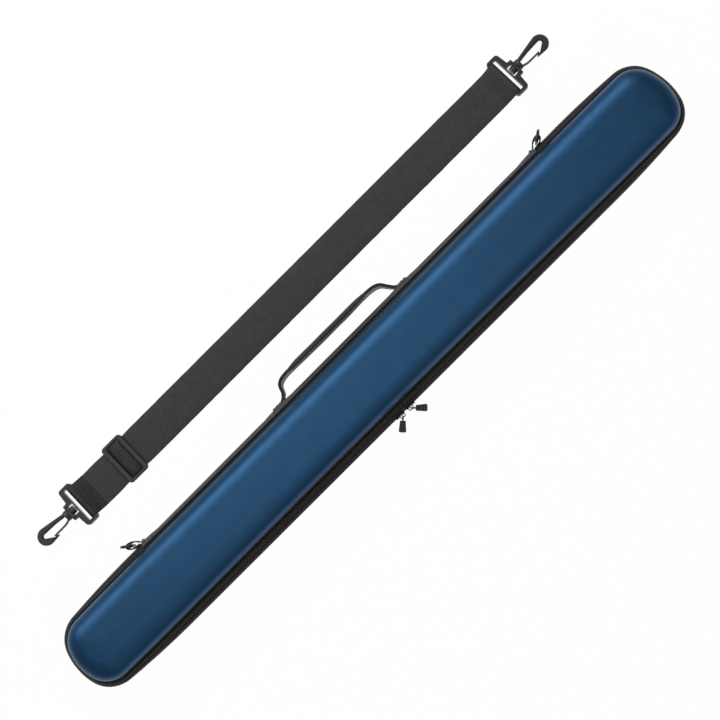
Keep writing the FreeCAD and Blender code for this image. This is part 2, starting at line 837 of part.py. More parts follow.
def hook():
    """Swivel head, shaft, collar and the hook itself, with its nose on the -Y side."""
    r = hook_half_width
    bend = hook_reach - r
    low, high = -hook_thickness / 2, hook_thickness / 2
    body = prism(
        in_xy, Z_AXIS, low, high,
        (collar_length - 0.5, r * 0.48), (bend - 1.5, r * 0.99), ((hook_reach, 0), (bend - 1.5, -r * 0.99)),
        (nose_in, -r * 0.92), (nose_in + 1.2, -r * 0.79), (nose_in + 5, -r * 0.73),
        (hook_reach - hook_tip_thickness - 0.4, -r * 0.1),
        ((hook_reach - hook_tip_thickness - 0.2, throat_top * 0.55), (bend + 0.6, throat_top)),
        (hook_reach * 0.42, throat_top * 0.8), (collar_length - 0.5, r * 0.07))
    rims = edges_at_height(body, high) + edges_at_height(body, low)
    body = body.makeChamfer(hook_edge_round, [e for e in rims if e.Length > 5 * hook_edge_round])
    near = -boss_depth - swivel_play * 1.5
    return one_solid(body.fuse(swivel_pin(near)))


def hook_gate():
    """The thin spring tongue that closes the hook, from the collar to inside the nose."""
    r = hook_half_width
    outer = -r * 0.695
    inner = outer + gate_thickness
    curve = gate_root + 8.5
    tip = nose_in + 4.3
    return prism(
        in_xy, Z_AXIS, -gate_width / 2, gate_width / 2,
        (gate_root, -r * 0.5), ((mix(gate_root, curve, 0.48), outer * 0.93), (curve, outer)),
        (tip, outer + 0.1), (tip + 0.5, inner - 0.1), (curve, inner),
        ((mix(gate_root, curve, 0.5), inner * 0.91), (gate_root, -r * 0.34)))


def at_right(shape):
    shape.translate(V(strap_right_bar + bar_to_face, strap_middle, swivel_height))
    return shape


def at_left(shape):
    mirrored = other_end(shape)
    mirrored.translate(V(strap_left_bar - bar_to_face, strap_middle, swivel_height))
    return mirrored


# ---- Every piece by name ------------------------------------------------------------------

def build_all():
    pieces = {
        "lid_shell": lid_shell(),
        "lid_band": lid_band(),
        "lid_zip_tape": lid_zip_tape(),
        "lid_zip_coil": lid_zip_coil(),
        "lid_pad": lid_pad(),
    }
    for name in ("shell", "band", "zip_tape", "zip_coil"):
        pieces["base_" + name] = other_half(pieces["lid_" + name])
    pieces["zip_stops"] = zip_stops()
    pieces["cue_tray"] = cue_tray()
    pieces["spine_panel"] = spine_panel()
    pieces["handle_webbing"] = handle_webbing()
    pieces["handle_grip"] = handle_grip()
    for side, word in ((-1, "left"), (1, "right")):
        pieces["retaining_band_" + word] = retaining_band(side)
        pieces["handle_cuff_" + word] = handle_cuff(side)
        pieces["ring_cuff_" + word] = end_cuff(side)
        pieces["ring_loop_" + word] = ring_loop(side)
        pieces["d_ring_" + word] = d_ring(side)
        pieces["slider_" + word] = slider(side)
        pieces["pull_link_" + word] = pull_link(side)
        pieces["pull_tab_" + word] = pull_tab(side)
    pieces["strap_webbing"] = strap_webbing()
    pieces["tri_glide"] = tri_glide()
    pieces["glide_webbing"] = glide_webbing()
    for make, name in ((hook_ring, "hook_ring"), (hook, "hook"), (hook_gate, "hook_gate")):
        pieces[name + "_right"] = at_right(make())
        pieces[name + "_left"] = at_left(make())
    return pieces


os.makedirs("parts", exist_ok=True)
for node, piece in build_all().items():
    piece.exportStep("parts/" + node + ".step")
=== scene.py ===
import json
import math

import bpy
from bpy.props import FloatProperty, IntProperty, PointerProperty, StringProperty
from mathutils import Matrix, Vector, noise


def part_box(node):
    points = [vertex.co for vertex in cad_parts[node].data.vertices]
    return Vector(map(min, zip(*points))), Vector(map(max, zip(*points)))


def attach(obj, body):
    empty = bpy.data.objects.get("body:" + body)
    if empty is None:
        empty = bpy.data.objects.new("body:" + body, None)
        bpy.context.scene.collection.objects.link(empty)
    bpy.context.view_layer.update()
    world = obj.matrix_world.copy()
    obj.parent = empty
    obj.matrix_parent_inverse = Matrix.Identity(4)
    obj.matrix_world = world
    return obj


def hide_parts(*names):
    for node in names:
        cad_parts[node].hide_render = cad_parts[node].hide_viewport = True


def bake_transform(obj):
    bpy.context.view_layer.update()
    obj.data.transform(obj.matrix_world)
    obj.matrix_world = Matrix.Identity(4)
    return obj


bl_info = {
    "name": "Cue case dresser",
    "version": (1, 0, 0),
    "blender": (4, 5, 0),
    "location": "3D View > Sidebar > Cue Case",
    "description": "Cloth, webbing, foam, zip and finishes for a two-piece cue case and its strap",
    "category": "Object",
}

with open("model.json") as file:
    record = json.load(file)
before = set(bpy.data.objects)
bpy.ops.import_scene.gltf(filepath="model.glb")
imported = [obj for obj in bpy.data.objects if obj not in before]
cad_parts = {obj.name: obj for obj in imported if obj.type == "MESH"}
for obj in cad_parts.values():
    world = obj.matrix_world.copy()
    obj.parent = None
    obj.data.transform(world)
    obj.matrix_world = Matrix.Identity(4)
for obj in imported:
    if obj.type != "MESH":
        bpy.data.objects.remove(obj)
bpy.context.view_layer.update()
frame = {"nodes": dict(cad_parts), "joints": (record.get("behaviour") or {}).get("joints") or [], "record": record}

X_AXIS = Vector((1, 0, 0))
Y_AXIS = Vector((0, 1, 0))
Z_AXIS = Vector((0, 0, 1))

# Places that come from the frame: the zip's line, the shells, the spine and the strap's bars.
zip_low, zip_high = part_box("lid_zip_coil")
shell_low, shell_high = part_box("lid_shell")
spine_low, spine_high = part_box("spine_panel")
middle = shell_high.z / 2
lid_lip = shell_low.z

# Which way is up for each half, by body name.
HALVES = ((1, "lid"), (-1, "base"))

# Share of the way from the shell to the zip's line at which the side cover is sewn to the tape.
SEAM_SHARE = 0.62

# Between a fold line and the case's middle cloth, and how far the lip lies in from the bowed back.
FOLD_GAP = 0.00015
LIP_SETBACK = 0.0011


# ---- Sizes and colours that a user would change ---------------------------------------------

def length(name, default, description):
    return FloatProperty(name=name, default=default, description=description, unit="LENGTH",
                         precision=5, min=0.0)


def colour(name, default, description):
    return StringProperty(name=name, default=default, description=description)


class CaseSizes(bpy.types.PropertyGroup):
    """Sizes of the case's cloth, shells and zip."""
    zip_end_radius: length("Zip end radius", 0.066, "Radius of the zip's line across the end")
    zip_corner_radius: length("Zip corner radius", 0.033, "Radius of the zip's line at a corner")
    zip_side_radius: length("Zip side radius", 0.960, "Radius of the zip's line where the side begins")
    shell_end_radius: length("Shell end radius", 0.050, "Radius of the shell across the end")
    shell_corner_radius: length("Shell corner radius", 0.028, "Radius of the shell at a corner")
    shell_side_radius: length("Shell side radius", 4.0, "Radius of the shell where the side begins")
    side_run: length("Side run", 0.117, "From each end to where the sides run straight")
    shell_length: length("Shell length", 0.8155, "Length of the moulded shell, without its lip")
    edge_radius: length("Edge radius", 0.0155, "Height of the shell's rounded shoulder")
    shoulder_reach: length("Shoulder reach", 0.0235, "How far in from the edge the shoulder begins")
    crown: length("Crown", 0.0007, "How far the top rises from the shoulder to its middle")
    wall: length("Wall", 0.0036, "Thickness of the moulded shell")
    lip_reach: length("Lip reach", 0.0006, "How far the shell's lip stands out")
    lip_height: length("Lip height", 0.0014, "Height of the shell's lip")
    band_cloth: length("Band cloth", 0.0016, "Thickness of the cloth between shell and zip")
    tooth_pitch: length("Tooth pitch", 0.0021, "From one turn of the zip's coil to the next")
    stitch_pitch: length("Stitch pitch", 0.0032, "From one stitch to the next")
    stitch_width: length("Stitch thread", 0.00055, "Diameter of the sewing thread")
    spine_crown: length("Spine crown", 0.0045, "How far the spine bulges from its fold lines")
    spine_swell: length("Spine swell", 0.0014, "How far the spine lifts where a loop runs under it")
    tray_inset: length("Tray inset", 0.0042, "From the outside of the shell to the foam")


class StrapSizes(bpy.types.PropertyGroup):
    """Sizes of the webbing on the strap and the handle."""
    cloth: length("Strap cloth", 0.0015, "Thickness of the shoulder strap's webbing")
    rib_pitch: length("Rib pitch", 0.0030, "From one turn of the selvedge to the next")
    rib_depth: length("Rib depth", 0.00016, "How far each turn of the selvedge stands out")
    handle_cloth: length("Handle cloth", 0.0026, "Thickness of the handle's double webbing")
    leg_cloth: length("Handle leg", 0.0032, "Thickness of the webbing where its edges fold in at a leg")
    handle_width: length("Handle width", 0.018, "Width of the handle's webbing")
    wrap_radius: length("Wrap radius", 0.00345, "Radius of the webbing round a hook ring's bar")
    ring_wire: length("Ring wire", 0.003, "Diameter of the D-ring's wire")
    edge_break: length("Edge break", 0.0008, "Rounding on the edges of moulded parts")
    column_step: length("Column step", 0.0008, "Spacing of the cross-sections along webbing")
    tube_sides: IntProperty(name="Tube sides", default=14, min=6, description="Sides of a round wire")


class Finishes(bpy.types.PropertyGroup):
    """Colours of the materials, as sRGB hex."""
    shell: colour("Shell", "#1F4A6E", "Metallic blue laminate")
    shell_edge: colour("Shell sheen", "#6A6690", "Grey violet cast of the laminate at a low angle")
    # Lighter and greyer than the shell: a painted highlight along the rim.
    lip: colour("Shell lip", "#4A525C", "Rim of the laminate, lightened as a painted highlight")
    band: colour("Band", "#1B1C1C", "Woven side cover")
    tape: colour("Zip tape", "#1B1C1C", "Woven zip tape")
    coil: colour("Zip coil", "#141515", "Nylon coil")
    spine: colour("Spine", "#4A4F52", "Twill along the fold")
    webbing: colour("Webbing", "#2C2E2F", "Strap and handle webbing")
    # Near-black copy of the webbing: painted shade for webbing in creases, loop eyes, the handle's legs and wraps
    # over bars.
    webbing_painted_shade: colour("Webbing, painted shade", "#121314", "Webbing made near black as painted shade in creases, loop eyes and wraps")
    grip: colour("Grip", "#343A3D", "Padded sleeve")
    thread: colour("Thread", "#151616", "Sewing thread")
    # A paler thread for every other stitch of the grip.
    thread_pale: colour("Paler thread", "#4A4B4A", "Paler sewing thread on every other stitch of the grip")
    moulding: colour("Moulding", "#272B2D", "Acetal hooks and rings")
    metal: colour("Zip metal", "#3A3A3C", "Black plated zinc")
    wire: colour("Wire", "#1F2021", "Coated steel wire")
    tab: colour("Tab", "#2C2F30", "Soft moulded pull")
    foam: colour("Foam", "#1D1F24", "Plush over foam")


# ---- Materials ------------------------------------------------------------------------------

def linear(code, alpha=1.0):
    """A colour written as sRGB hex, as the linear values that a socket takes."""
    parts = [int(code[i:i + 2], 16) / 255 for i in (1, 3, 5)]
    return [p / 12.92 if p <= 0.04045 else ((p + 0.055) / 1.055) ** 2.4 for p in parts] + [alpha]


def darker(code, share):
    """A hex colour at a share of its lightness."""
    return "#" + "".join("%02X" % min(255, round(int(code[i:i + 2], 16) * share)) for i in (1, 3, 5))


def add(tree, kind, inputs, **settings):
    """Adds a node with its settings; an input is a value, or another node's output to link."""
    made = tree.nodes.new(kind)
    for key, value in settings.items():
        setattr(made, key, value)
    for key, value in inputs.items():
        if isinstance(value, bpy.types.NodeSocket):
            tree.links.new(value, made.inputs[key])
        else:
            made.inputs[key].default_value = value
    return made


def surface(name, code, shader, mottle, grain_mm, grain, height=None, height_mm=0.0, coarse=0.5):
    """A material with a mottled colour, a fine grain, and a weave or rib pattern if height is given.

    mottle is how far the colour strays and over how many millimetres, and coarse is the share of
    that slow change against the grain's.  height adds a pattern's nodes and returns its output,
    0 to 1, which stands height_mm tall.
    """
    material = bpy.data.materials.new(name)
    material.use_nodes = True
    tree = material.node_tree
    tree.nodes.clear()
    spread, patch_mm = mottle
    place = add(tree, "ShaderNodeTexCoord", {})
    patches = add(tree, "ShaderNodeTexNoise", {
        "Vector": place.outputs["Object"], "Scale": 1000 / patch_mm, "Detail": 3.0})
    speck = add(tree, "ShaderNodeTexNoise", {
        "Vector": place.outputs["Object"], "Scale": 1000 / grain_mm, "Detail": 2.0})
    both = add(tree, "ShaderNodeMix", {
        "Factor": coarse, "A": speck.outputs["Fac"], "B": patches.outputs["Fac"]}, data_type="FLOAT")
    tone = add(tree, "ShaderNodeMapRange", {
        "Value": both.outputs["Result"], "From Min": 0.3, "From Max": 0.7})
    paint = add(tree, "ShaderNodeMix", {"Factor": tone.outputs["Result"]}, data_type="RGBA")
    paint.inputs["A"].default_value = linear(darker(code, 1 - spread))
    paint.inputs["B"].default_value = linear(darker(code, 1 + spread))
    base = paint.outputs["Result"]
    bump = add(tree, "ShaderNodeBump", {
        "Height": speck.outputs["Fac"], "Strength": grain, "Distance": 0.0004})
    if height is not None:
        pattern = height(tree, place)
        bump = add(tree, "ShaderNodeBump", {
            "Height": pattern, "Strength": 1.0, "Distance": height_mm / 1000,
            "Normal": bump.outputs["Normal"]})
        # The pattern also scales the colour, darker in its low parts and lighter on its high parts: painted shade
        # in the weave's valleys and a painted highlight on its crowns.
        weave_valley_shade = add(tree, "ShaderNodeMapRange", {"Value": pattern, "To Min": 0.62, "To Max": 1.12})
        base = add(tree, "ShaderNodeVectorMath", {
            "Vector": base, "Scale": weave_valley_shade.outputs["Result"]}, operation="SCALE").outputs["Vector"]
    bsdf = add(tree, "ShaderNodeBsdfPrincipled", {
        "Base Color": base, "Normal": bump.outputs["Normal"], **shader})
    add(tree, "ShaderNodeOutputMaterial", {"Surface": bsdf.outputs["BSDF"]})
    return material


def uv_scaled(tree, place, across_mm, along_mm, turn=0.0):
    """The piece's own cloth coordinates, one unit for each thread each way."""
    return add(tree, "ShaderNodeMapping", {
        "Vector": place.outputs["UV"], "Scale": (1000 / along_mm, 1000 / across_mm, 1),
        "Rotation": (0, 0, turn)}).outputs["Vector"]


def plain_weave(thread_mm):
    """Threads over and under each other."""
    def height(tree, place):
        grid = uv_scaled(tree, place, thread_mm, thread_mm)
        warp = add(tree, "ShaderNodeTexWave", {"Vector": grid, "Scale": 0.5, "Distortion": 0.4},
                   bands_direction="X")
        weft = add(tree, "ShaderNodeTexWave", {"Vector": grid, "Scale": 0.5, "Distortion": 0.4},
                   bands_direction="Y")
        return add(tree, "ShaderNodeMath", {0: warp.outputs["Fac"], 1: weft.outputs["Fac"]},
                   operation="MULTIPLY").outputs["Value"]
    return height


def ribbed(pitch_mm, direction, distortion):
    """Ribs that run one way: X for ribs across the cloth, Y for ribs along it."""
    def height(tree, place):
        grid = uv_scaled(tree, place, pitch_mm, pitch_mm)
        return add(tree, "ShaderNodeTexWave", {
            "Vector": grid, "Scale": 0.314, "Distortion": distortion, "Detail Scale": 0.6},
            bands_direction=direction).outputs["Fac"]
    return height


def webbing_weave(tree, place):
    """Narrow lengthwise cords crossed by the weft, as on nylon webbing."""
    cords = ribbed(2.2, "Y", 0.5)(tree, place)
    weft = ribbed(1.4, "X", 2.5)(tree, place)
    return add(tree, "ShaderNodeMath", {0: cords, 1: 0.6, 2: weft},
               operation="MULTIPLY_ADD").outputs["Value"]


def twill(tree, place):
    """Diagonal wales."""
    grid = uv_scaled(tree, place, 1.3, 1.3, math.radians(38))
    return add(tree, "ShaderNodeTexWave", {"Vector": grid, "Scale": 0.314, "Distortion": 0.8},
               bands_direction="X").outputs["Fac"]


def make_materials(look):
    """Every finish, by the name that the pieces use."""
    # Cloth laminate with a metallic print, heat-moulded over EVA foam: a broad satin gleam with a
    # fine grain, and a grey violet cast where it turns away.
    shell = surface(
        "Heat-moulded EVA with metallic blue laminate", look.shell,
        {"Metallic": 0.72, "Roughness": 0.40, "Sheen Weight": 0.16, "Sheen Roughness": 0.35,
         "Sheen Tint": linear(look.shell_edge)}, (0.05, 14), 0.7, 0.22)
    # The same laminate along its thin rim, coloured lighter and greyer than the shell as a painted highlight line
    # along the rim.
    lip = surface("Laminate rim with painted highlight", look.lip,
                  {"Metallic": 0.35, "Roughness": 0.36}, (0.10, 9), 0.6, 0.15)
    # Polyester plain weave, dyed black: matt, with a soft grey nap on its crown.  The threads are
    # drawn at twice their 0.6 mm spacing so that they show.
    band = surface("Polyester cover, plain woven", look.band,
                   {"Roughness": 0.74, "Sheen Weight": 0.05}, (0.12, 9), 0.8, 0.35,
                   plain_weave(1.2), 0.12)
    # Woven polyester tape: fine cords along the zip.
    tape = surface("Polyester zip tape, woven", look.tape,
                   {"Roughness": 0.72, "Sheen Weight": 0.04}, (0.1, 6), 0.8, 0.3,
                   ribbed(1.1, "Y", 0.6), 0.16)
    # Nylon monofilament, coiled and heat set: dark with small sharp glints.
    coil = surface("Nylon coil, heat set", look.coil,
                   {"Roughness": 0.38, "IOR": 1.53}, (0.1, 5), 0.5, 0.1)
    # Polyester twill: grey against the black cloth, with diagonal wales.
    spine = surface("Polyester twill, woven", look.spine,
                    {"Roughness": 0.68, "Sheen Weight": 0.12}, (0.10, 11), 0.9, 0.3, twill, 0.14)
    # Nylon webbing: narrow cords along it, crossed by the weft, with a slight silkiness.
    webbing = surface("Nylon webbing, woven", look.webbing,
                      {"Roughness": 0.58, "Sheen Weight": 0.05}, (0.16, 7), 0.9, 0.3,
                      webbing_weave, 0.20)
    # The same webbing with flatter cords, coloured near black as painted shade for webbing in creases, loop eyes,
    # the handle's legs and wraps over bars.
    painted_shade_webbing = surface("Nylon webbing in painted shade", look.webbing_painted_shade,
                    {"Roughness": 0.46}, (0.2, 6), 0.9, 0.25, webbing_weave, 0.16)
    # Padded sleeve of smooth knitted polyester: even, soft, a little lighter than webbing.
    grip = surface("Polyester sleeve, knitted", look.grip,
                   {"Roughness": 0.62, "Sheen Weight": 0.10}, (0.08, 6), 0.7, 0.3,
                   plain_weave(1.0), 0.08)
    # Bonded nylon thread: twisted, faintly glossy.
    thread = surface("Nylon thread, bonded", look.thread, {"Roughness": 0.5}, (0.1, 3), 0.5, 0.3)
    # A paler copy of the thread, on every other stitch along the grip.
    pale = surface("Nylon thread, paler", look.thread_pale, {"Roughness": 0.5}, (0.15, 3), 0.5, 0.3)
    # Acetal, injection moulded: an even satin with a slight tool grain and clear edge lights.
    moulding = surface("Acetal, injection moulded", look.moulding,
                       {"Roughness": 0.36, "IOR": 1.48}, (0.06, 8), 0.5, 0.12)
    # Zinc die casting with black plating: near mirror glints on small faces.
    metal = surface("Zinc, die cast and black plated", look.metal,
                    {"Metallic": 1.0, "Roughness": 0.22}, (0.1, 3), 0.5, 0.06)
    # Steel wire, welded and coated black: smooth with a long highlight.
    wire = surface("Steel wire, coated", look.wire, {"Roughness": 0.3, "IOR": 1.5}, (0.08, 4), 0.5, 0.05)
    # Soft PVC, moulded over the link: dull, with a grain that grips.
    tab = surface("Soft PVC, moulded", look.tab, {"Roughness": 0.6}, (0.08, 4), 0.5, 0.3)
    # Flocked nylon plush over EVA foam: deep black with a pale nap at low angles.
    foam = surface("Nylon plush on foam, flocked", look.foam,
                   {"Roughness": 0.95, "Sheen Weight": 0.8, "Sheen Roughness": 0.4}, (0.2, 16), 0.8, 0.6)
    return {"shell": shell, "lip": lip, "band": band, "tape": tape, "coil": coil, "spine": spine,
            "webbing": webbing, "painted_shade_webbing": painted_shade_webbing, "grip": grip, "thread": thread, "thread_pale": pale,
            "moulding": moulding, "metal": metal, "wire": wire, "tab": tab, "foam": foam}


finish_cache = {}


def finish_named(key):
    """The material for a finish; the first call makes them all."""
    if not finish_cache:
        finish_cache.update(make_materials(bpy.context.scene.cue_finishes))
    return finish_cache[key]


# ---- Making meshes --------------------------------------------------------------------------

def piece(name, body, finish, verts, faces, uvs=None, smooth=40.0, replaces=()):
    """A mesh in place with its finish and cloth coordinates; it rides on a body when body is a name, and otherwise
    stays fixed where it is.
    """
    mesh = bpy.data.meshes.new(name)
    mesh.from_pydata(verts, [], faces)
    if uvs is not None:
        layer = mesh.uv_layers.new(name="cloth")
        flat = [value for pair in uvs for value in pair]
        layer.data.foreach_set("uv", flat)
    mesh.validate()
    mesh.shade_smooth()
    mesh.set_sharp_from_angle(angle=math.radians(smooth))
    mesh.materials.append(finish_named(finish))
    made = bpy.data.objects.new(name, mesh)
    bpy.context.scene.collection.objects.link(made)
    if isinstance(body, str):
        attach(made, body)
    else:
        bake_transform(made)
    if replaces:
        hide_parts(*replaces)
    return made


def run_lengths(points):
    """Distance along a line of points, at each point."""
    total = [0.0]
    for a, b in zip(points, points[1:]):
        total.append(total[-1] + (b - a).length)
    return total


def grid(name, body, slot, finish, rows, closed_rows, closed_columns, cap=None, smooth=40.0,
         replaces=()):
    """A skin over rows of points.  closed_rows joins the last row to the first, closed_columns
    the last column to the first; cap fills the open ends of the "rows" or the "columns"."""
    high, wide = len(rows), len(rows[0])
    verts = [p for row in rows for p in row]
    along = run_lengths(rows[0] + ([rows[0][0]] if closed_columns else []))
    crossing = [row[wide // 2] for row in rows]
    across = run_lengths(crossing + (crossing[:1] if closed_rows else []))
    faces, uvs = [], []
    for i in range(high if closed_rows else high - 1):
        for j in range(wide if closed_columns else wide - 1):
            k, m = (i + 1) % high, (j + 1) % wide
            faces.append((i * wide + j, i * wide + m, k * wide + m, k * wide + j))
            uvs += [(along[j], across[i]), (along[j + 1], across[i]),
                    (along[j + 1], across[i + 1]), (along[j], across[i + 1])]
    ends = []
    if cap == "rows":
        ends = [list(range(wide))[::-1], [(high - 1) * wide + j for j in range(wide)]]
    elif cap == "columns":
        ends = [[i * wide for i in range(high)], [i * wide + wide - 1 for i in range(high)][::-1]]
    for end in ends:
        faces.append(tuple(end))
        uvs += [(verts[v].x, verts[v].y) for v in end]
    return piece(name, body, finish, verts, faces, uvs, smooth, replaces)


def strip(name, body, slot, finish, rows, smooth=50.0, replaces=()):
    """A skin whose rows run the length of a closed section, capped at both ends."""
    return grid(name, body, slot, finish, rows, True, False, "columns", smooth, replaces)


def join_parts(parts):
    """Many small (verts, faces) shapes as one set of verts and faces."""
    verts, faces = [], []
    for more, shape in parts:
        start = len(verts)
        verts += more
        faces += [tuple(start + v for v in face) for face in shape]
    return verts, faces


def smooth_path(points, step):
    """A Catmull-Rom curve through a few points, sampled about every step."""
    first = points[0] * 2 - points[1]
    last = points[-1] * 2 - points[-2]
    knots = [first] + points + [last]
    line = []
    for a, b, c, d in zip(knots, knots[1:], knots[2:], knots[3:]):
        count = max(2, round((c - b).length / step))
        for k in range(count):
            t = k / count
            line.append(0.5 * (2 * b + (c - a) * t + (2 * a - 5 * b + 4 * c - d) * t * t
                               + (3 * b - a - 3 * c + d) * t * t * t))
    line.append(points[-1])
    return line


def arc(centre, radius, start, end, count, u, v):
    """Points round a centre in the plane of u and v, from one angle in degrees to another."""
    turns = [math.radians(start + (end - start) * k / count) for k in range(count + 1)]
    return [centre + (u * math.cos(t) + v * math.sin(t)) * radius for t in turns]


def tangents(path, closed=False):
    """The direction of a path at each point."""
    count = len(path)
    found = []
    for k in range(count):
        before = path[k - 1] if k or closed else path[0]
        after = path[(k + 1) % count] if k + 1 < count or closed else path[-1]
        found.append((after - before).normalized())
    return found


def ribbon(name, body, slot, path, side, width, cloth, rib_pitch=0.0, rib_depth=0.0, widths=None,
           finish="webbing", plies=1, replaces=()):
    """Webbing along a path: flat, round at its edges, with a ribbed selvedge.

    side is the way across the webbing.  widths gives a share of the width at each point.  More
    than one ply shows as a groove along each edge.
    """
    half, thick = width / 2, cloth / 2
    groove = 0.78 if plies > 1 else 1.0
    section = []
    for k in range(5):
        turn = math.radians(-60 + 30 * k)
        section.append((half - thick * (1 - math.cos(turn)) * groove, thick * math.sin(turn), 1.0))
    if plies > 1:
        section[2] = (half - thick * 0.35, 0.0, 1.0)
    flat = half * 0.96
    face = [(flat, thick, 0.3), (half * 0.5, thick, 0), (0, thick, 0), (-half * 0.5, thick, 0),
            (-flat, thick, -0.3)]
    turned = [(-a, -b, -c) for a, b, c in section + face]
    outline = turned[-1:] + section + face + turned[:-1]
    gone = run_lengths(path)
    rows = [[] for _ in outline]
    for k, (point, along) in enumerate(zip(path, tangents(path))):
        normal = side.cross(along).normalized()
        share = widths[k] if widths else 1.0
        rib = 0.0
        if rib_pitch:
            rib = rib_depth * math.sin(math.tau * gone[k] / rib_pitch)
            rib += rib_depth * 1.2 * noise.noise(Vector((gone[k] / rib_pitch * 0.37, width * 90, 5.0)))
        for row, (across, up, edge) in zip(rows, outline):
            row.append(point + side * (across * share + rib * edge) + normal * up)
    return strip(name, body, slot, finish, rows, 50.0, replaces)


def tube(name, body, slot, finish, path, radius, sides, closed, replaces=()):
    """Round wire along a path that lies in one plane."""
    normal = (path[len(path) // 3] - path[0]).cross(path[len(path) // 2] - path[0]).normalized()
    rows = [[] for _ in range(sides)]
    for point, along in zip(path, tangents(path, closed)):
        aside = normal.cross(along).normalized()
        for k, row in enumerate(rows):
            turn = math.tau * k / sides
            row.append(point + (normal * math.cos(turn) + aside * math.sin(turn)) * radius)
    cap = None if closed else "columns"
    return grid(name, body, slot, finish, rows, True, closed, cap, 60.0, replaces)


def bead(start, end, radius, out):
    """One stitch: a small bar from start to end, round in section, sunk at both ends."""
    along = (end - start).normalized()
    aside = along.cross(out).normalized()
    rings = [(0.0, 0.25, -0.9), (0.2, 0.9, 0.15), (0.5, 1.0, 0.35), (0.8, 0.9, 0.15), (1.0, 0.25, -0.9)]
    verts = []
    for share, size, lift in rings:
        centre = start.lerp(end, share) + out * (radius * lift)
        for k in range(6):
            turn = math.tau * k / 6
            verts.append(centre + (aside * math.cos(turn) + out * math.sin(turn)) * (radius * size))
    faces = [(6 * r + k, 6 * r + (k + 1) % 6, 6 * r + 6 + (k + 1) % 6, 6 * r + 6 + k)
             for r in range(4) for k in range(6)]
    faces += [tuple(range(6))[::-1], tuple(range(24, 30))]
    return verts, faces


def seam(name, body, lines, pitch, width, slant=0.0, across=None):
    """Stitches along lines of (point, outward) pairs, merged into one piece."""
    parts = []
    for line in lines:
        gone = run_lengths([p for p, _ in line])
        count = max(1, int(gone[-1] / pitch))
        for k in range(count):
            ends = []
            for where in (k + 0.12, k + 0.88):
                target = gone[-1] * where / count
                j = next(i for i in range(len(gone) - 1) if gone[i + 1] >= target - 1e-9)
                share = (target - gone[j]) / max(gone[j + 1] - gone[j], 1e-9)
                ends.append((line[j][0].lerp(line[j + 1][0], share), line[j][1]))
            (a, out), (b, _) = ends
            if across is not None:
                a, b = a - across * slant, b + across * slant
            parts.append(bead(a, b, width / 2, out))
    verts, faces = join_parts(parts)
    return piece(name, body, "thread", verts, faces, smooth=70.0)


# ---- Outline of the case --------------------------------------------------------------------

def circles_meet(a, radius_a, b, radius_b):
    """Of the two points that lie on both circles, the one further along +X."""
    line = b - a
    along = (radius_a ** 2 - radius_b ** 2 + line.length ** 2) / (2 * line.length)
    aside = math.sqrt(radius_a ** 2 - along ** 2)
    unit = line.normalized()
    normal = Vector((-unit.y, unit.x))
    return max(a + unit * along + normal * aside, a + unit * along - normal * aside, key=lambda p: p.x)


def short_arc(centre, start, end, count):
    """Points round a centre from start to before end, the short way."""
    first = math.atan2(start.y - centre.y, start.x - centre.x)
    turn = math.atan2(end.y - centre.y, end.x - centre.x) - first
    radius = (start - centre).length
    angles = [first + turn * k / count for k in range(count)]
    return [centre + Vector((math.cos(t), math.sin(t))) * radius for t in angles]


def quarter(sizes, share, inset):
    """The outline from the tip of the +X end to where the +Y side runs straight."""
    def mix(low, high):
        return low + (high - low) * share
    full = mix(sizes.shell_length / 2, zip_high.x)
    wide = mix(shell_high.y - sizes.lip_reach, zip_high.y) - inset
    end_r = mix(sizes.shell_end_radius, sizes.zip_end_radius) - inset
    corner_r = mix(sizes.shell_corner_radius, sizes.zip_corner_radius) - inset
    side_r = mix(sizes.shell_side_radius, sizes.zip_side_radius) - inset
    tip = Vector((full - inset, 0))
    side = Vector((full - sizes.side_run, wide))
    end_c = tip - Vector((end_r, 0))
    side_c = side - Vector((0, side_r))
    corner_c = circles_meet(end_c, end_r - corner_r, side_c, side_r - corner_r)
    end_joint = end_c + (corner_c - end_c).normalized() * end_r
    side_joint = side_c + (corner_c - side_c).normalized() * side_r
    points = short_arc(end_c, tip, end_joint, 14)
    points += short_arc(corner_c, end_joint, side_joint, 18)
    points += short_arc(side_c, side_joint, side, 14)
    return points + [side]


def straight(start, end, step):
    """Points between two ends, without either."""
    count = max(2, round(abs(end.x - start.x) / step))
    return [start.lerp(end, k / count) for k in range(1, count)]


def back_bow(x):
    """How far the sewn spine side stands off its straight line at x."""
    return 0.0005 + 0.0027 * x + 0.0115 * x * x


def sway(x, y, share):
    """The hand-sewn waver of the sides: share is 0 on the shell's edge and 1 on the zip's line."""
    if y > 0:
        shell, rim = back_bow(x) - LIP_SETBACK, back_bow(x)
    else:
        shell, rim = 0.0013 - 0.0034 * x - 0.016 * x * x, -0.0004 - 0.0015 * x
    return (shell + (rim - shell) * share) * min(1.0, abs(y) / 0.030)


def around(sizes, share, inset, z, closed, step=0.006):
    """The outline at one height, from the spine's right end round the zip side to its left end;
    closed carries on along the spine."""
    q = quarter(sizes, share, inset)
    front = [Vector((p.x, -p.y)) for p in q[1:]]
    left_front = [Vector((-p.x, p.y)) for p in front[::-1]]
    left_back = [Vector((-p.x, p.y)) for p in q]
    loop = q[::-1] + front + straight(front[-1], left_front[0], step) + left_front + left_back
    if closed:
        loop += straight(left_back[-1], q[-1], step)
    else:
        gap = 0.0003
        right_end = Vector((spine_high.x + gap, q[-1].y))
        left_end = Vector((spine_low.x - gap, q[-1].y))
        loop = [right_end] + straight(right_end, q[-1], step) + loop
        loop += straight(left_back[-1], left_end, step) + [left_end]
    return [Vector((p.x, p.y + sway(p.x, p.y, share), z)) for p in loop]


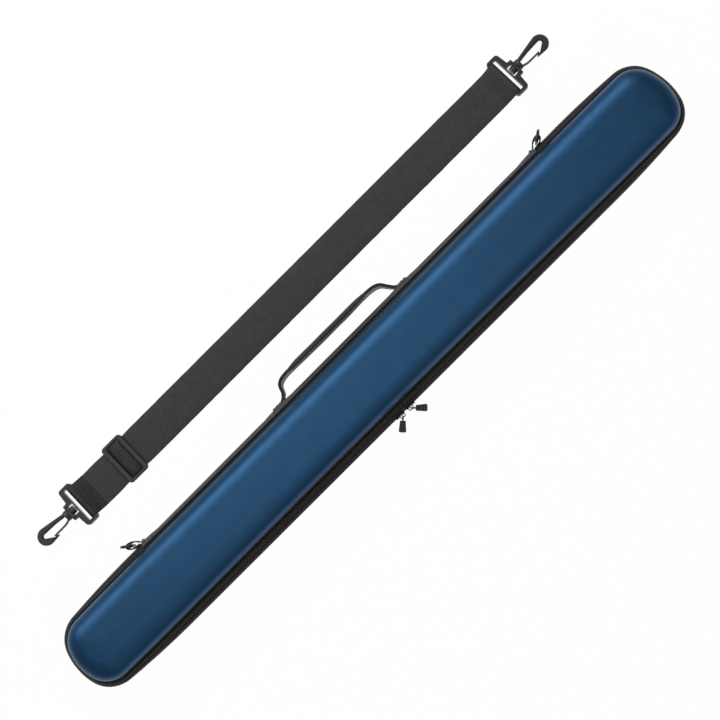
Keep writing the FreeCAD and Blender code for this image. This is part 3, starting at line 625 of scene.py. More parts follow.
def flipped(rows):
    """The same rows for the other shell, mirrored in the plane of the zip."""
    return [[Vector((p.x, p.y, 2 * middle - p.z)) for p in row] for row in rows[::-1]]


def along_spine(count):
    """Places along the spine, from its left end to its right."""
    return [spine_low.x + (spine_high.x - spine_low.x) * k / count for k in range(count + 1)]


def both_halves(rows):
    """The lid's rows and the base's, by body name."""
    return (("lid", rows), ("base", flipped(rows)))


# ---- Shells, bands and zip ------------------------------------------------------------------

def make_shells(sizes):
    """The two moulded shells: a wide oval shoulder under a slightly crowned top, and the lip."""
    top = shell_high.z - sizes.crown
    reach, high, wall = sizes.shoulder_reach, sizes.edge_radius - sizes.crown, sizes.wall

    def shoulder(count, start):
        """The shoulder as (inset, height) from the side up to the top, drawn in by start."""
        turns = [math.radians(90 * k / count) for k in range(count + 1)]
        return [(start + (reach - start) * (1 - math.cos(turn)),
                 top - start - (high - start) * (1 - math.sin(turn))) for turn in turns]

    edge = 0.0004
    foot = [(wall, lid_lip + edge), (wall - edge, lid_lip), (edge, lid_lip), (0.0, lid_lip + edge)]
    levels = [(reach + 0.002, top - wall)] + shoulder(10, wall)[::-1] + foot + shoulder(20, 0.0)
    rows = [around(sizes, 0, inset, z, True) for inset, z in levels]
    rim = rows[-1]
    for share in (0.94, 0.82, 0.64, 0.42, 0.2, 0.03):
        z = top + sizes.crown * (1 - share * share)
        rows.append([Vector((p.x * (0.96 + 0.04 * share), p.y * share, z)) for p in rim])
    for body, skin in both_halves(rows):
        grid(body + "_shell_skin", body, "shell", "shell", skin, False, True, "rows", 35.0,
             (body + "_shell",))
    out, tall = sizes.lip_reach, sizes.lip_height
    ring = [(0.0004, 0.0), (-out + 0.0003, 0.0), (-out, 0.0003), (-out, tall - 0.0006),
            (-out + 0.0002, tall - 0.0002), (-out + 0.0006, tall), (0.0003, tall + 0.0001),
            (0.0008, tall - 0.0002)]
    rows = [around(sizes, 0, inset, lid_lip + z, True) for inset, z in ring]
    for body, skin in both_halves(rows):
        # The lip takes a colour lighter and greyer than the shell: a painted highlight along the rim.
        grid(body + "_lip", body, "shell", "lip", skin, True, True, None, 50.0)


def band_section(sizes):
    """The side cover, from under the lip over its crown to the zip's seam, there and back."""
    lip, seam_z = lid_lip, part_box("lid_zip_tape")[1].z
    drop = lip - seam_z
    outer = [(0.0, 0.0018, lip + 0.0002), (0.03, 0.0010, lip - 0.0016), (0.09, 0.0004, lip - 0.0028),
             (0.16, 0.0, lip - 0.0026), (0.25, 0.0, lip - 0.0022), (0.35, 0.0, lip - 0.35 * drop),
             (0.46, 0.0, lip - 0.50 * drop), (0.55, 0.0, lip - 0.68 * drop),
             (0.60, 0.0003, lip - 0.84 * drop)]
    cloth = sizes.band_cloth
    inner = [(share, inset + cloth, z - cloth * 0.3) for share, inset, z in outer]
    return outer + [(SEAM_SHARE, 0.0012, seam_z), (SEAM_SHARE, 0.0012 + cloth, seam_z)] + inner[::-1]


def make_bands(sizes):
    """The cloth sides: one piece round three sides of each shell, and a low strip by the spine."""
    rows = [around(sizes, share, inset, z, False) for share, inset, z in band_section(sizes)]
    for row in rows:
        for point in row:
            waver = noise.noise(Vector((point.x * 14, point.y * 14, 3.0)))
            point.y += 0.00025 * waver * (1 if point.y > 0 else -1)
    for body, skin in both_halves(rows):
        strip(body + "_side_cover", body, "band", "band", skin, 50.0,
             (body + "_band",))
    fold = spine_high.z + FOLD_GAP
    y_out = spine_high.y - sizes.spine_crown
    y_lip = shell_high.y - sizes.lip_reach
    cloth = sizes.band_cloth
    # Each point of the strip's section, and how much of the lip's setback from the bow it takes.
    profile = [(y_lip - 0.0008, lid_lip, 1), (y_lip + 0.0008, lid_lip - 0.0024, 0.9),
               (y_lip + 0.0022, lid_lip - 0.0042, 0.6), (y_out - 0.0006, fold + 0.0006, 0),
               (y_out - 0.0004, fold + 0.0002, 0), (y_out - 0.0004 - cloth, fold + 0.0001, 0),
               (y_lip - 0.0008, fold + 0.0006, 1)]
    stations = along_spine(60)
    rows = [[Vector((x, y + (back_bow(x) - LIP_SETBACK * share), z)) for x in stations]
            for y, z, share in profile]
    for body, skin in both_halves(rows):
        # The strip by the spine takes the near-black webbing: painted shade for the deep crease between the lip
        # and the spine.
        strip(body + "_back_cover", body, "band", "painted_shade_webbing", skin, 50.0)


def zip_line(sizes, share, inset, z):
    """The outline at one height in steps short enough for the zip."""
    return around(sizes, share, inset, z, False, 0.004)


def make_zip(sizes):
    """Zip tapes with their topstitching, and the two rows of coil."""
    edge_z, seam_z = (corner.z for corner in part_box("lid_zip_tape"))
    flat_z = seam_z - 0.0036
    outer = [(SEAM_SHARE, 0.0007, seam_z), (0.66, 0.0002, seam_z - 0.0004), (0.74, 0.0001, seam_z - 0.0011),
             (0.86, 0.0002, seam_z - 0.0022), (0.96, 0.0005, flat_z + 0.0004),
             (1.0, 0.0009, flat_z - 0.0004), (1.0, 0.0010, edge_z)]
    cloth = 0.0008
    inner = [(share, inset + cloth, z) for share, inset, z in outer]
    rows = [zip_line(sizes, share, inset, z) for share, inset, z in outer + inner[::-1]]
    for body, skin in both_halves(rows):
        strip(body + "_tape_cloth", body, "zip_tape", "tape", skin, 50.0,
             (body + "_zip_tape",))
    line = zip_line(sizes, 0.70, 0.0, seam_z - 0.0008)
    outs = [Vector((b.y - a.y, a.x - b.x, 0)).normalized() * 0.8 for a, b in zip(line, line[1:])]
    outs.append(outs[-1])
    for sign, body in HALVES:
        up = Z_AXIS * 0.6 * sign
        stitches = [(Vector((p.x, p.y, middle + sign * (p.z - middle))), (out + up).normalized())
                    for p, out in zip(line, outs)]
        seam(body + "_tape_stitches", body, [stitches], sizes.stitch_pitch, sizes.stitch_width)
    path = zip_line(sizes, 1.0, 0.0, 0.0)
    gone = run_lengths(path)
    pitch = sizes.tooth_pitch
    for sign, body in HALVES:
        shift = 0.5 - 0.25 * sign
        parts = []
        j = 0
        for k in range(int(gone[-1] / pitch)):
            target = (k + shift) * pitch
            while gone[j + 1] < target:
                j += 1
            spot = path[j].lerp(path[j + 1], (target - gone[j]) / (gone[j + 1] - gone[j]))
            along = (path[j + 1] - path[j]).normalized()
            parts.append(coil_turn(spot, along, sign))
        verts, faces = join_parts(parts)
        piece(body + "_coil", body, "coil", verts, faces, smooth=60.0,
              replaces=(body + "_zip_coil",))


def coil_turn(spot, along, sign):
    """One turn of the coil: a rounded hoop over the tape's edge, lid's for +1, base's for -1."""
    inward = Vector((-along.y, along.x, 0))
    if inward.dot(Vector((-spot.x * 0.02, -spot.y, 0))) < 0:
        inward = -inward
    ring = [(0.0001, 0.0006), (0.0, 0.0011), (0.0001, 0.0022), (0.0005, 0.0028), (0.0010, 0.0026),
            (0.0011, 0.0009)]
    heart_depth, heart_up = 0.00055, 0.0017
    verts = []
    for offset, size in ((-0.00062, 0.72), (-0.0003, 1.0), (0.0003, 1.0), (0.00062, 0.72)):
        for depth, up in ring:
            d = heart_depth + (depth - heart_depth) * size
            u = heart_up + (up - heart_up) * size
            verts.append(Vector((spot.x, spot.y, middle + sign * u)) + along * offset + inward * d)
    count = len(ring)
    faces = [(r * count + k, r * count + (k + 1) % count, (r + 1) * count + (k + 1) % count,
              (r + 1) * count + k) for r in range(3) for k in range(count)]
    faces += [tuple(range(count))[::-1], tuple(range(3 * count, 4 * count))]
    return verts, faces


# ---- Spine, cuffs, rings --------------------------------------------------------------------

def spine_circle(sizes):
    """Radius and centre of the spine's round section."""
    half = (spine_high.z - spine_low.z) / 2 + FOLD_GAP
    radius = (half ** 2 + sizes.spine_crown ** 2) / (2 * sizes.spine_crown)
    return radius, spine_high.y - radius, half


def cuff_spans():
    """The stretch of spine under each cuff, by node name."""
    names = ("ring_cuff_left", "handle_cuff_left", "handle_cuff_right", "ring_cuff_right")
    return {name: (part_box(name)[0].x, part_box(name)[1].x) for name in names}


def swell(sizes, x):
    """How far the spine stands out at x: full under a cuff, and easing off over 25 mm."""
    ease = 0.025
    share = 0.0
    for low, high in cuff_spans().values():
        away = max(low - x, x - high, 0.0)
        share = max(share, 0.5 + 0.5 * math.cos(math.pi * min(away / ease, 1.0)))
    return sizes.spine_swell * share


def spine_point(sizes, x, turn, lift):
    """A point over the spine: turn is the angle up from its crown."""
    radius, centre, _ = spine_circle(sizes)
    r = radius + lift
    return Vector((x, centre + back_bow(x) + r * math.cos(turn), middle + r * math.sin(turn)))


def make_spine(sizes):
    """The cloth spine, the welts on its two fold lines and the rows of stitching."""
    radius, _, half = spine_circle(sizes)
    edge = math.asin((half - 0.0003) / radius)
    cloth = 0.0022
    stations = along_spine(150)
    outer, inner = [], []
    for k in range(-8, 9):
        turn = edge * k / 8
        fade = math.cos(turn / edge * math.pi / 2) ** 0.6 if abs(turn) < edge else 0.0
        row = []
        for x in stations:
            waver = 0.0003 * noise.noise(Vector((x * 22, turn * 2, 7.0)))
            row.append(spine_point(sizes, x, turn, (swell(sizes, x) + waver) * fade))
        outer.append(row)
        inner.append([spine_point(sizes, x, turn, -cloth) for x in stations])
    strip("spine_cloth", "spine", "spine", "spine", outer + inner[::-1], 50.0,
         ("spine_panel",))
    lines = []
    for sign in (-1, 1):
        turn = sign * edge * 0.80
        out = Vector((0, math.cos(turn), math.sin(turn)))
        lines.append([(spine_point(sizes, x, turn, swell(sizes, x) * 0.3 + 0.0001), out) for x in stations])
    seam("spine_stitches", "spine", lines, sizes.stitch_pitch, sizes.stitch_width)
    root_y = spine_high.y - sizes.spine_crown
    for sign, body in HALVES[::-1]:
        fold = middle + sign * half
        heart = Vector((0, root_y - 0.0011, fold))
        profile = arc(heart, 0.0016, -75, 75, 8, Y_AXIS, Z_AXIS)
        profile += arc(heart, 0.0010, 75, -75, 8, Y_AXIS, Z_AXIS)
        rows = [[Vector((x, p.y + back_bow(x), p.z)) for x in stations] for p in profile]
        start = Vector((0, root_y, fold + sign * 0.0006))
        end = Vector((0, root_y, fold - sign * 0.0006))
        strip("spine_welt_" + body, (body, "spine", start, end), "band", "tape", rows, 50.0)


def make_cuffs(sizes):
    """The patches wrapped over the ends of the handle and of the ring loops: rolls of cloth side by
    side, pulled in by the stitching between them."""
    radius = spine_circle(sizes)[0]
    reach = math.asin((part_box("handle_cuff_left")[1].z - middle) / (radius + 0.003))
    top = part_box("handle_cuff_left")[1].y - spine_high.y
    roll_width, hem = 0.0052, 0.0032
    under, least = 0.0006, 0.0008
    for name, (low, high) in cuff_spans().items():
        wide = high - low
        rolls = max(1, round(wide / roll_width))
        count = rolls * 8
        outer, inner = [], []
        for turn in (reach * k / 12 for k in range(-12, 13)):
            end_fade = min(1.0, (1 - abs(turn) / reach) * 7 + 0.25)
            outer_row, inner_row = [], []
            for k in range(count + 1):
                x = low + wide * k / count
                along = (k / count * rolls) % 1.0
                puff = math.sqrt(max(0.0, math.sin(math.pi * along)))
                waver = 0.0002 * noise.noise(Vector((x * 200, turn * 5, 1.0)))
                ramp = min(1.0, (min(x - low, high - x) / hem + 0.12)) ** 0.7
                lift = top * (0.78 + 0.24 * puff) * end_fade * ramp + waver
                outer_row.append(spine_point(sizes, x, turn, max(lift, least)))
                inner_row.append(spine_point(sizes, x, turn, under))
            outer.append(outer_row)
            inner.append(inner_row)
        strip(name + "_patch", "spine", "webbing", "spine", outer + inner[::-1], 60.0,
             (name,))
        lines = []
        for roll in range(1, rolls):
            x = low + wide * roll / rolls
            line = []
            for turn in (reach * 0.9 * k / 10 for k in range(-10, 11)):
                out = Vector((0, math.cos(turn), math.sin(turn)))
                line.append((spine_point(sizes, x, turn, top * 0.62), out))
            lines.append(line)
        if lines:
            seam(name + "_stitches", "spine", lines, sizes.stitch_pitch * 0.8, sizes.stitch_width)


def joint_at(name):
    """Where a joint's axis is, from the record."""
    return Vector(next(j["pos_m"] for j in frame["joints"] if j["name"] == name))


def make_rings(strap):
    """D-rings of round wire, and the open loops of webbing that hold them."""
    # The loop's line round the ring's bar, with the first value pointing away from the case's middle.
    eye = [(-0.0080, -0.0028), (-0.0053, 0.0006), (-0.0020, 0.0029), (0.0024, 0.0040), (0.0050, 0.0033),
           (0.0048, -0.0003), (0.0014, -0.0029), (-0.0024, -0.0041), (-0.0068, -0.0044)]
    knee = 0.0022
    loop_width, loop_cloth = 0.013, 0.0012
    for side, word in ((-1, "left"), (1, "right")):
        bar = joint_at("d_ring_swing_" + word)
        box_low, box_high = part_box("d_ring_" + word)
        wire = strap.ring_wire / 2
        radius = (box_high.z - box_low.z) / 2 - wire
        turn = math.radians(90 - side * 54)
        out = Vector((math.cos(turn), math.sin(turn), 0))
        hook = bar + out * knee
        path = arc(hook + Z_AXIS * (radius - knee), knee, 180, 90, 6, out, Z_AXIS)
        path += arc(hook, radius, 90, -90, 30, out, Z_AXIS)[1:]
        path += arc(hook - Z_AXIS * (radius - knee), knee, -90, -180, 6, out, Z_AXIS)[1:]
        foot = path[-1]
        path += [foot.lerp(path[0], k / 8) for k in range(1, 8)]
        tube("d_ring_wire_" + word, "d_ring_" + word, "wire", "wire", path, wire, strap.tube_sides, True,
             ("d_ring_" + word,))
        knots = [Vector((bar.x + side * a, bar.y + b, middle)) for a, b in eye]
        path = smooth_path(knots, strap.column_step)
        # The loop takes the near-black webbing: painted shade for the dark eye round the ring.
        ribbon("ring_loop_webbing_" + word, "spine", "webbing", path, Z_AXIS, loop_width, loop_cloth,
               strap.rib_pitch, strap.rib_depth * 0.6, finish="painted_shade_webbing", replaces=("ring_loop_" + word,))


# ---- Handle ---------------------------------------------------------------------------------

def make_handle(strap):
    """Webbing from cuff to cuff, doubled and pinched at its legs, and the padded sleeve."""
    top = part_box("handle_webbing")[1].y - strap.handle_cloth / 2
    tilt = joint_at("handle_tilt")
    route = [(-0.0845, 0.0462), (-0.0811, 0.0478), (-0.0780, 0.0504), (-0.0757, 0.0531), (-0.0744, 0.0566),
             (-0.0729, 0.0596), (-0.0708, 0.0617), (-0.0668, 0.0635), (-0.0620, 0.0643), (-0.0540, 0.0646),
             (0, top), (0.0500, 0.0646), (0.0568, 0.0643), (0.0620, 0.0636), (0.0661, 0.0623),
             (0.0696, 0.0600), (0.0719, 0.0568), (0.0743, 0.0534), (0.0768, 0.0503), (0.0792, 0.0480),
             (0.0820, 0.0464)]
    path = smooth_path([Vector((x, y, middle)) for x, y in route], strap.column_step)
    pinched, opens_over = 0.0500, 0.0135
    widths = [0.46 + 0.54 * min(1.0, max((p.y - pinched) / opens_over, 0.0)) ** 0.8 for p in path]
    bend = (Vector((tilt.x, 0.0472, middle)), Vector((tilt.x, 0.0545, middle)))
    # The handle's webbing takes the near-black webbing: painted shade for the faces of its legs that turn away
    # from the light.
    ribbon("handle_strap", ("spine", "handle", *bend), "webbing", path, Z_AXIS, strap.handle_width,
           strap.leg_cloth, strap.rib_pitch, strap.rib_depth, widths, finish="painted_shade_webbing", plies=2,
           replaces=("handle_webbing",))
    make_grip(top)


def grip_section(out, back, width):
    """A flat pad in section: out and back are its depths away from the case and towards it."""
    points = []
    for k in range(28):
        turn = math.tau * k / 28
        c, s = math.cos(turn), math.sin(turn)
        y = math.copysign(abs(c) ** 0.66, c) * (out if c > 0 else back)
        z = math.copysign(abs(s) ** 0.42, s) * width / 2
        points.append((y, z))
    return points


def grip_depths(low, high, x):
    """The sleeve's depth on its outer and inner faces at x, and its width: the outer face starts
    further in than the inner one."""
    near = max(0.0, min(x - low.x, high.x - x))
    out = 0.0011 + 0.0017 * min(1.0, max(0.0, near - 0.0045) / 0.0120) ** 0.7
    back = 0.0015 + 0.0016 * min(1.0, near / 0.036) ** 0.6
    return out, back, 0.0185 + 0.0020 * min(1.0, near / 0.025)


def make_grip(top):
    """The padded sleeve, pointed at both ends, whip-stitched along the side towards the case."""
    low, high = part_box("handle_grip")
    count = 120
    pull, pucker_pitch = 0.0005, 0.0034
    rows = [[] for _ in range(28)]
    for k in range(count + 1):
        x = low.x - 0.0015 + (high.x - low.x + 0.001) * k / count
        pucker = 0.00015 * math.sin(x / pucker_pitch * math.tau)
        for row, (y, z) in zip(rows, grip_section(*grip_depths(low, high, x))):
            near_seam = max(0.0, 1 - abs(z) / 0.004) if y < 0 else 0.0
            waver = 0.00022 * noise.noise(Vector((x * 60, y * 300, z * 120)))
            row.append(Vector((x, top + y + waver + near_seam * (pull + pucker), middle + z)))
    pad = strip("grip_sleeve", "handle", "grip", "grip", rows, 60.0, ("handle_grip",))
    lines = ([], [])
    pitch, margin = 0.0032, 0.003
    reach = X_AXIS * 0.0005 + Z_AXIS * 0.0028
    for k in range(int((high.x - low.x - 2 * margin) / pitch)):
        x = low.x + margin + k * pitch
        back = grip_depths(low, high, x)[1]
        spot = Vector((x, top - back * 0.94, middle + 0.0010))
        lines[k % 2].append(bead(spot - reach, spot + reach, 0.00040, -Y_AXIS))
    for k, finish in ((0, "thread"), (1, "thread_pale")):
        verts, faces = join_parts(lines[k])
        piece("grip_whip_stitches_%d" % k, "handle", finish, verts, faces, smooth=70.0)


# ---- Zip sliders ----------------------------------------------------------------------------

def dress(node, finish, width):
    """Puts a finish on a CAD node and rounds its edges by a small width."""
    made = frame["nodes"][node]
    made.data.materials.clear()
    made.data.materials.append(finish_named(finish))
    soften = made.modifiers.new("Edge break", "BEVEL")
    soften.width = width
    soften.segments = 3
    soften.limit_method = "ANGLE"
    soften.angle_limit = math.radians(35)
    smooth = made.modifiers.new("Face normals", "WEIGHTED_NORMAL")
    smooth.keep_sharp = True


def make_sliders():
    """Plated sliders, links and stops, and tabs with a raised rim and cross ribs to hold."""
    dress("zip_stops", "metal", 0.0002)
    for side, word in ((-1, "left"), (1, "right")):
        dress("slider_" + word, "metal", 0.00025)
        dress("pull_link_" + word, "metal", 0.00015)
        make_tab(side, word)


def tab_loop(inset):
    """The tab's outline drawn in by inset: flared from its root to a square end with round corners."""
    narrow, wide, root, end, corner = 0.0029, 0.0037, 0.0046, 0.0162, 0.0015
    points = [(root + inset, -narrow + inset), (root + 0.0010, -narrow + inset * 0.9)]
    for k in range(6):
        turn = math.radians(-90 + 18 * k)
        points.append((end - corner + (corner - inset) * math.cos(turn),
                       -wide + corner + (corner - inset) * math.sin(turn)))
    return points + [(a, -b) for a, b in points[::-1]]


def make_tab(side, word):
    """A soft moulded tab with a raised rim and cross ribs in its recess."""
    pivot = joint_at("pull_swing_" + word)
    low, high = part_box("pull_tab_" + word)
    turn = math.radians(-90 + side * 47)
    along = Vector((math.cos(turn), math.sin(turn), 0))
    aside = Vector((-along.y, along.x, 0))
    half = (high.z - low.z) / 2
    heart = Vector((pivot.x, pivot.y, (high.z + low.z) / 2))
    rings = [(0.0016, half - 0.0004), (0.0012, half - 0.0003), (0.0010, half - 0.0001), (0.0007, half),
             (0.0004, half - 0.0001), (0.0001, half - 0.0004), (0.0, half - 0.0007)]
    rings += [(inset, -z) for inset, z in rings[::-1]]
    rows = [[heart + Z_AXIS * z + along * a + aside * b for a, b in tab_loop(inset)] for inset, z in rings]
    grid("tab_" + word, "pull_" + word, "pull", "tab", rows, False, True, "rows", 50.0,
         ("pull_tab_" + word,))
    parts = []
    for up in (1, -1):
        for k in range(4):
            spot = heart + Z_AXIS * (up * (half - 0.0003)) + along * (0.0085 + 0.0018 * k)
            parts.append(bead(spot - aside * 0.0019, spot + aside * 0.0019, 0.00035, Z_AXIS * up))
    verts, faces = join_parts(parts)
    piece("tab_ribs_" + word, "pull_" + word, "tab", verts, faces, smooth=70.0)


# ---- Foam -----------------------------------------------------------------------------------

def half_width_at(sizes, x, inset):
    """Half the shell's width at x, for the outline drawn in by inset."""
    points = quarter(sizes, 0, inset)
    reach = abs(x)
    if reach <= points[-1].x:
        return points[-1].y
    for a, b in zip(points, points[1:]):
        if b.x <= reach <= a.x:
            return a.y + (b.y - a.y) * (a.x - reach) / max(a.x - b.x, 1e-9)
    return 0.0


def channels():
    """Each channel's middle, half width and the height of its round bottom's centre."""
    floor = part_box("cue_tray")[0].z + 0.004
    radii = {"butt_channel": 0.0155, "shaft_channel": 0.012}
    found = []
    for opening in frame["record"]["physics"]["openings"]:
        radius = radii.get(opening["name"])
        if radius:
            (_, y_low, _), (_, y_high, _) = opening["box_m"]
            found.append(((y_low + y_high) / 2, radius, floor + radius))
    return found


def tray_height(x, y, top, stop, grooves):
    """The tray's upper face: flat, with a rolled edge along each groove and a slope at its ends."""
    z = top
    slope, roll = 0.003, 0.002
    into_end = abs(x) - (stop - slope)
    if into_end >= slope:
        return z
    for centre, radius, floor in grooves:
        away = abs(y - centre)
        if away < radius:
            bottom = floor - math.sqrt(radius ** 2 - away ** 2)
            rim = min(1.0, (radius - away) / 0.0012) * min(1.0, max(0.0, (slope - into_end) / slope))
            z = min(z, top + (bottom - top) * rim)
        elif away < radius + roll:
            z = min(z, top - 0.0012 * (1 - (away - radius) / roll) ** 2)
    return z


def make_tray(sizes):
    """The foam tray with its two round-bottomed channels and rolled shoulders, and its elastics."""
    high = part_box("cue_tray")[1]
    inset = sizes.tray_inset
    end = sizes.shell_length / 2 - inset
    stop = high.x - 0.014
    turn_in = 0.018
    xs = [-end + turn_in * (k / 12) ** 1.5 for k in range(12)]
    xs += [-end + turn_in + (2 * end - 2 * turn_in) * k / 90 for k in range(91)]
    xs += [-x for x in xs[:12][::-1]]
    grooves = channels()
    samples = set()
    for centre, radius, _ in grooves:
        for k in range(-12, 13):
            samples.add(round(centre + radius * math.sin(math.pi / 2 * k / 12), 6))
        for more in (0.0004, 0.001, 0.002):
            samples.update((round(centre - radius - more, 6), round(centre + radius + more, 6)))
    span = half_width_at(sizes, 0, inset)
    inside = [y / span for y in sorted(samples) if abs(y) < span * 0.95]
    rows = []
    for share in [-1.0, -0.985, -0.96] + inside + [0.96, 0.985, 1.0]:
        sag = 0.0014 if abs(share) == 1.0 else 0.0004 if abs(share) > 0.98 else 0.0
        row = []
        for x in xs:
            y = half_width_at(sizes, x, inset) * share
            row.append(Vector((x, y, tray_height(x, y, high.z, stop, grooves) - sag)))
        rows.append(row)
    under = 0.014
    left = [Vector((p.x, p.y * 0.999, under)) for p in rows[0]]
    right = [Vector((p.x, p.y * 0.999, under)) for p in rows[-1]]
    strip("tray_plush", "base", "foam", "foam", [left] + rows + [right], 50.0,
         ("cue_tray",))
    for word in ("left", "right"):
        make_elastic(word)


def make_elastic(word):
    """A band stretched over the tray, which holds the cue down."""
    low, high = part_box("retaining_band_" + word)
    count = 24
    path = []
    for k in range(count + 1):
        share = k / count
        y = low.y + 0.001 + (high.y - low.y - 0.002) * share
        path.append(Vector(((low.x + high.x) / 2, y, low.z + 0.0007 + 0.0006 * math.sin(math.pi * share))))
    ribbon("elastic_band_" + word, "base", "elastic", path, X_AXIS, high.x - low.x, 0.0009, 0.002, 0.0002,
           replaces=("retaining_band_" + word,))


def make_pad(sizes):
    """The lid's plush pad, softly crowned towards the cue."""
    low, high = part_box("lid_pad")
    face = [(0.0180, 0.0), (0.0120, 0.0), (0.0060, 0.0003), (0.0022, 0.0008), (0.0006, 0.0016),
            (0.0, 0.0030)]
    back = [(0.0, 0.0125), (0.0035, 0.0085), (0.0090, 0.0048), (0.017, 0.0012)]
    levels = [(inset, low.z + rise) for inset, rise in face]
    levels += [(inset, high.z - drop) for inset, drop in back]
    rows = [around(sizes, 0, sizes.tray_inset + inset, z, True) for inset, z in levels]
    for row in rows[:4]:
        for point in row:
            point.z += 0.0004 * noise.noise(Vector((point.x * 30, point.y * 60, 2.0)))
    pad = grid("lid_plush", "lid", "foam", "foam", rows, False, True, "rows", 60.0, ("lid_pad",))


# ---- Shoulder strap -------------------------------------------------------------------------

def hook_bar(word):
    """The middle of the bar that the strap goes round: behind the swivel by a fixed distance."""
    face = joint_at("hook_swivel_" + word)
    behind = 0.0183
    return Vector((face.x + (behind if word == "left" else -behind), face.y, face.z))


def make_strap(strap):
    """The webbing from the left bar to the right bar, the ply that comes back to the glide, and
    the loop over the glide's middle bar."""
    low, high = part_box("strap_webbing")
    width = high.y - low.y - 2 * strap.rib_depth
    centre = (low.y + high.y) / 2
    left, right = hook_bar("left"), hook_bar("right")
    glide_low, glide_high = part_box("tri_glide")
    glide_x = (glide_low.x + glide_high.x) / 2
    ply = strap.cloth
    lower, upper = ply / 2, ply * 1.5
    radius, run, settled = strap.wrap_radius, 0.016, 0.020

    def at(x, z):
        return Vector((x, centre, z))

    def spread(line):
        """The webbing's share of its width: squeezed in the fittings, relaxed between them."""
        fuller, over = 0.034, 0.018
        shares = []
        for p in line:
            free = min(abs(p.x - left.x), abs(p.x - right.x), abs(p.x - glide_x) - 0.008)
            shares.append(1.0 + fuller * min(1.0, max(0.0, free / over)) ** 0.7)
        return shares

    # How the webbing comes off a bar, as (distance from it, height) above and below.
    over_bar = [(run, upper), (0.0125, upper + 0.0003), (0.0070, upper + 0.0035)]
    under_bar = [(0.007, 0.0014), (0.0125, lower + 0.0001)]
    knots = [at(left.x + away, z) for away, z in over_bar]
    knots += [at(p.x, p.z) for p in arc(left, radius, 60, 270, 16, X_AXIS, Z_AXIS)]
    knots += [at(left.x + away, z) for away, z in under_bar]
    steps = 24
    first, last = left.x + settled, right.x - settled
    knots += [at(first + (last - first) * k / steps, lower) for k in range(steps + 1)]
    knots += [at(right.x - away, z) for away, z in under_bar[::-1]]
    knots += [at(p.x, p.z) for p in arc(right, radius, -90, 120, 16, X_AXIS, Z_AXIS)]
    knots += [at(right.x - away, z) for away, z in over_bar[::-1]]
    path = smooth_path(knots, strap.column_step)
    long_ply = ribbon("strap_long_ply", "strap", "webbing", path, Y_AXIS, width, ply * 0.96, strap.rib_pitch,
                      strap.rib_depth, spread(path), replaces=("strap_webbing",))
    # The end over the left bar takes the near-black webbing: painted shade for the dark wrap and valley beside the
    # bar.
    long_ply.data.materials.append(finish_named("painted_shade_webbing"))
    wide = len(path)
    turned = next(k for k, p in enumerate(path) if p.z < ply and p.x > left.x)
    for face in long_ply.data.polygons:
        if min(v % wide for v in face.vertices) < turned:
            face.material_index = 1
    start = right.x - run + 0.0004
    lift = 0.00012
    knots = []
    for k in range(steps + 1):
        wave = 0.5 - 0.5 * math.cos(math.tau * k / steps * 3)
        knots.append(at(start + (glide_x - start) * k / steps, upper + lift * wave))
    path = smooth_path(knots, strap.column_step)
    ends = (Vector((start - 0.03, centre, 0)), Vector((glide_x + 0.03, centre, 0)))
    ribbon("strap_return_ply", ("strap", "glide", *ends), "webbing", path, Y_AXIS, width * 0.99, ply * 0.94,
           strap.rib_pitch, strap.rib_depth, spread(path))
    box_low, box_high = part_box("glide_webbing")
    half = (box_high.x - box_low.x) / 2 - 0.0004
    foot = box_low.z + ply / 2
    rise = box_high.z - ply / 2 - foot
    turns = [math.pi * k / 12 for k in range(13)]
    path = smooth_path([at(glide_x - half * math.cos(t), foot + rise * math.sin(t)) for t in turns],
                       strap.column_step)
    # The roll over the middle bar takes the near-black webbing: painted shade for the dark roll.
    ribbon("glide_loop", "glide", "webbing", path, Y_AXIS, width, ply * 0.96, strap.rib_pitch,
           strap.rib_depth, finish="painted_shade_webbing", replaces=("glide_webbing",))
    y_low, y_high = low.y + 0.002, high.y - 0.002
    lines = []
    for x in (left.x + 0.0132, left.x + 0.0148):
        lines.append([(Vector((x, y_low + (y_high - y_low) * k / 20, ply * 2 - 0.0002)), Z_AXIS)
                      for k in range(21)])
    seam("strap_end_stitches", "strap", lines, 0.0030, 0.0008, 0.0003, X_AXIS)


def make_fittings(strap):
    """The moulded and metal parts that keep their CAD shape."""
    for node in ("hook_ring_left", "hook_ring_right", "hook_left", "hook_right", "tri_glide"):
        dress(node, "moulding", strap.edge_break)
    for node in ("hook_gate_left", "hook_gate_right"):
        dress(node, "moulding", 0.0002)


# ---- Stage ----------------------------------------------------------------------------------

def floor_material():
    """White floor that shows as white and keeps a soft shadow."""
    material = bpy.data.materials.new("White studio floor")
    material.use_nodes = True
    tree = material.node_tree
    tree.nodes.clear()
    path = add(tree, "ShaderNodeLightPath", {})
    matt = add(tree, "ShaderNodeBsdfDiffuse", {"Color": (0.95, 0.95, 0.95, 1)})
    glow = add(tree, "ShaderNodeEmission", {"Color": (1, 1, 1, 1), "Strength": 1.0})
    seen = add(tree, "ShaderNodeMath", {
        0: path.outputs["Is Camera Ray"], 1: path.outputs["Is Glossy Ray"]}, operation="MAXIMUM")
    seen = add(tree, "ShaderNodeMath", {
        0: seen.outputs["Value"], 1: path.outputs["Is Transmission Ray"]}, operation="MAXIMUM")
    share = add(tree, "ShaderNodeMath", {0: seen.outputs["Value"], 1: 0.98}, operation="MULTIPLY")
    both = add(tree, "ShaderNodeMixShader", {
        0: share.outputs["Value"], 1: matt.outputs["BSDF"], 2: glow.outputs["Emission"]})
    add(tree, "ShaderNodeOutputMaterial", {"Surface": both.outputs["Shader"]})
    return material


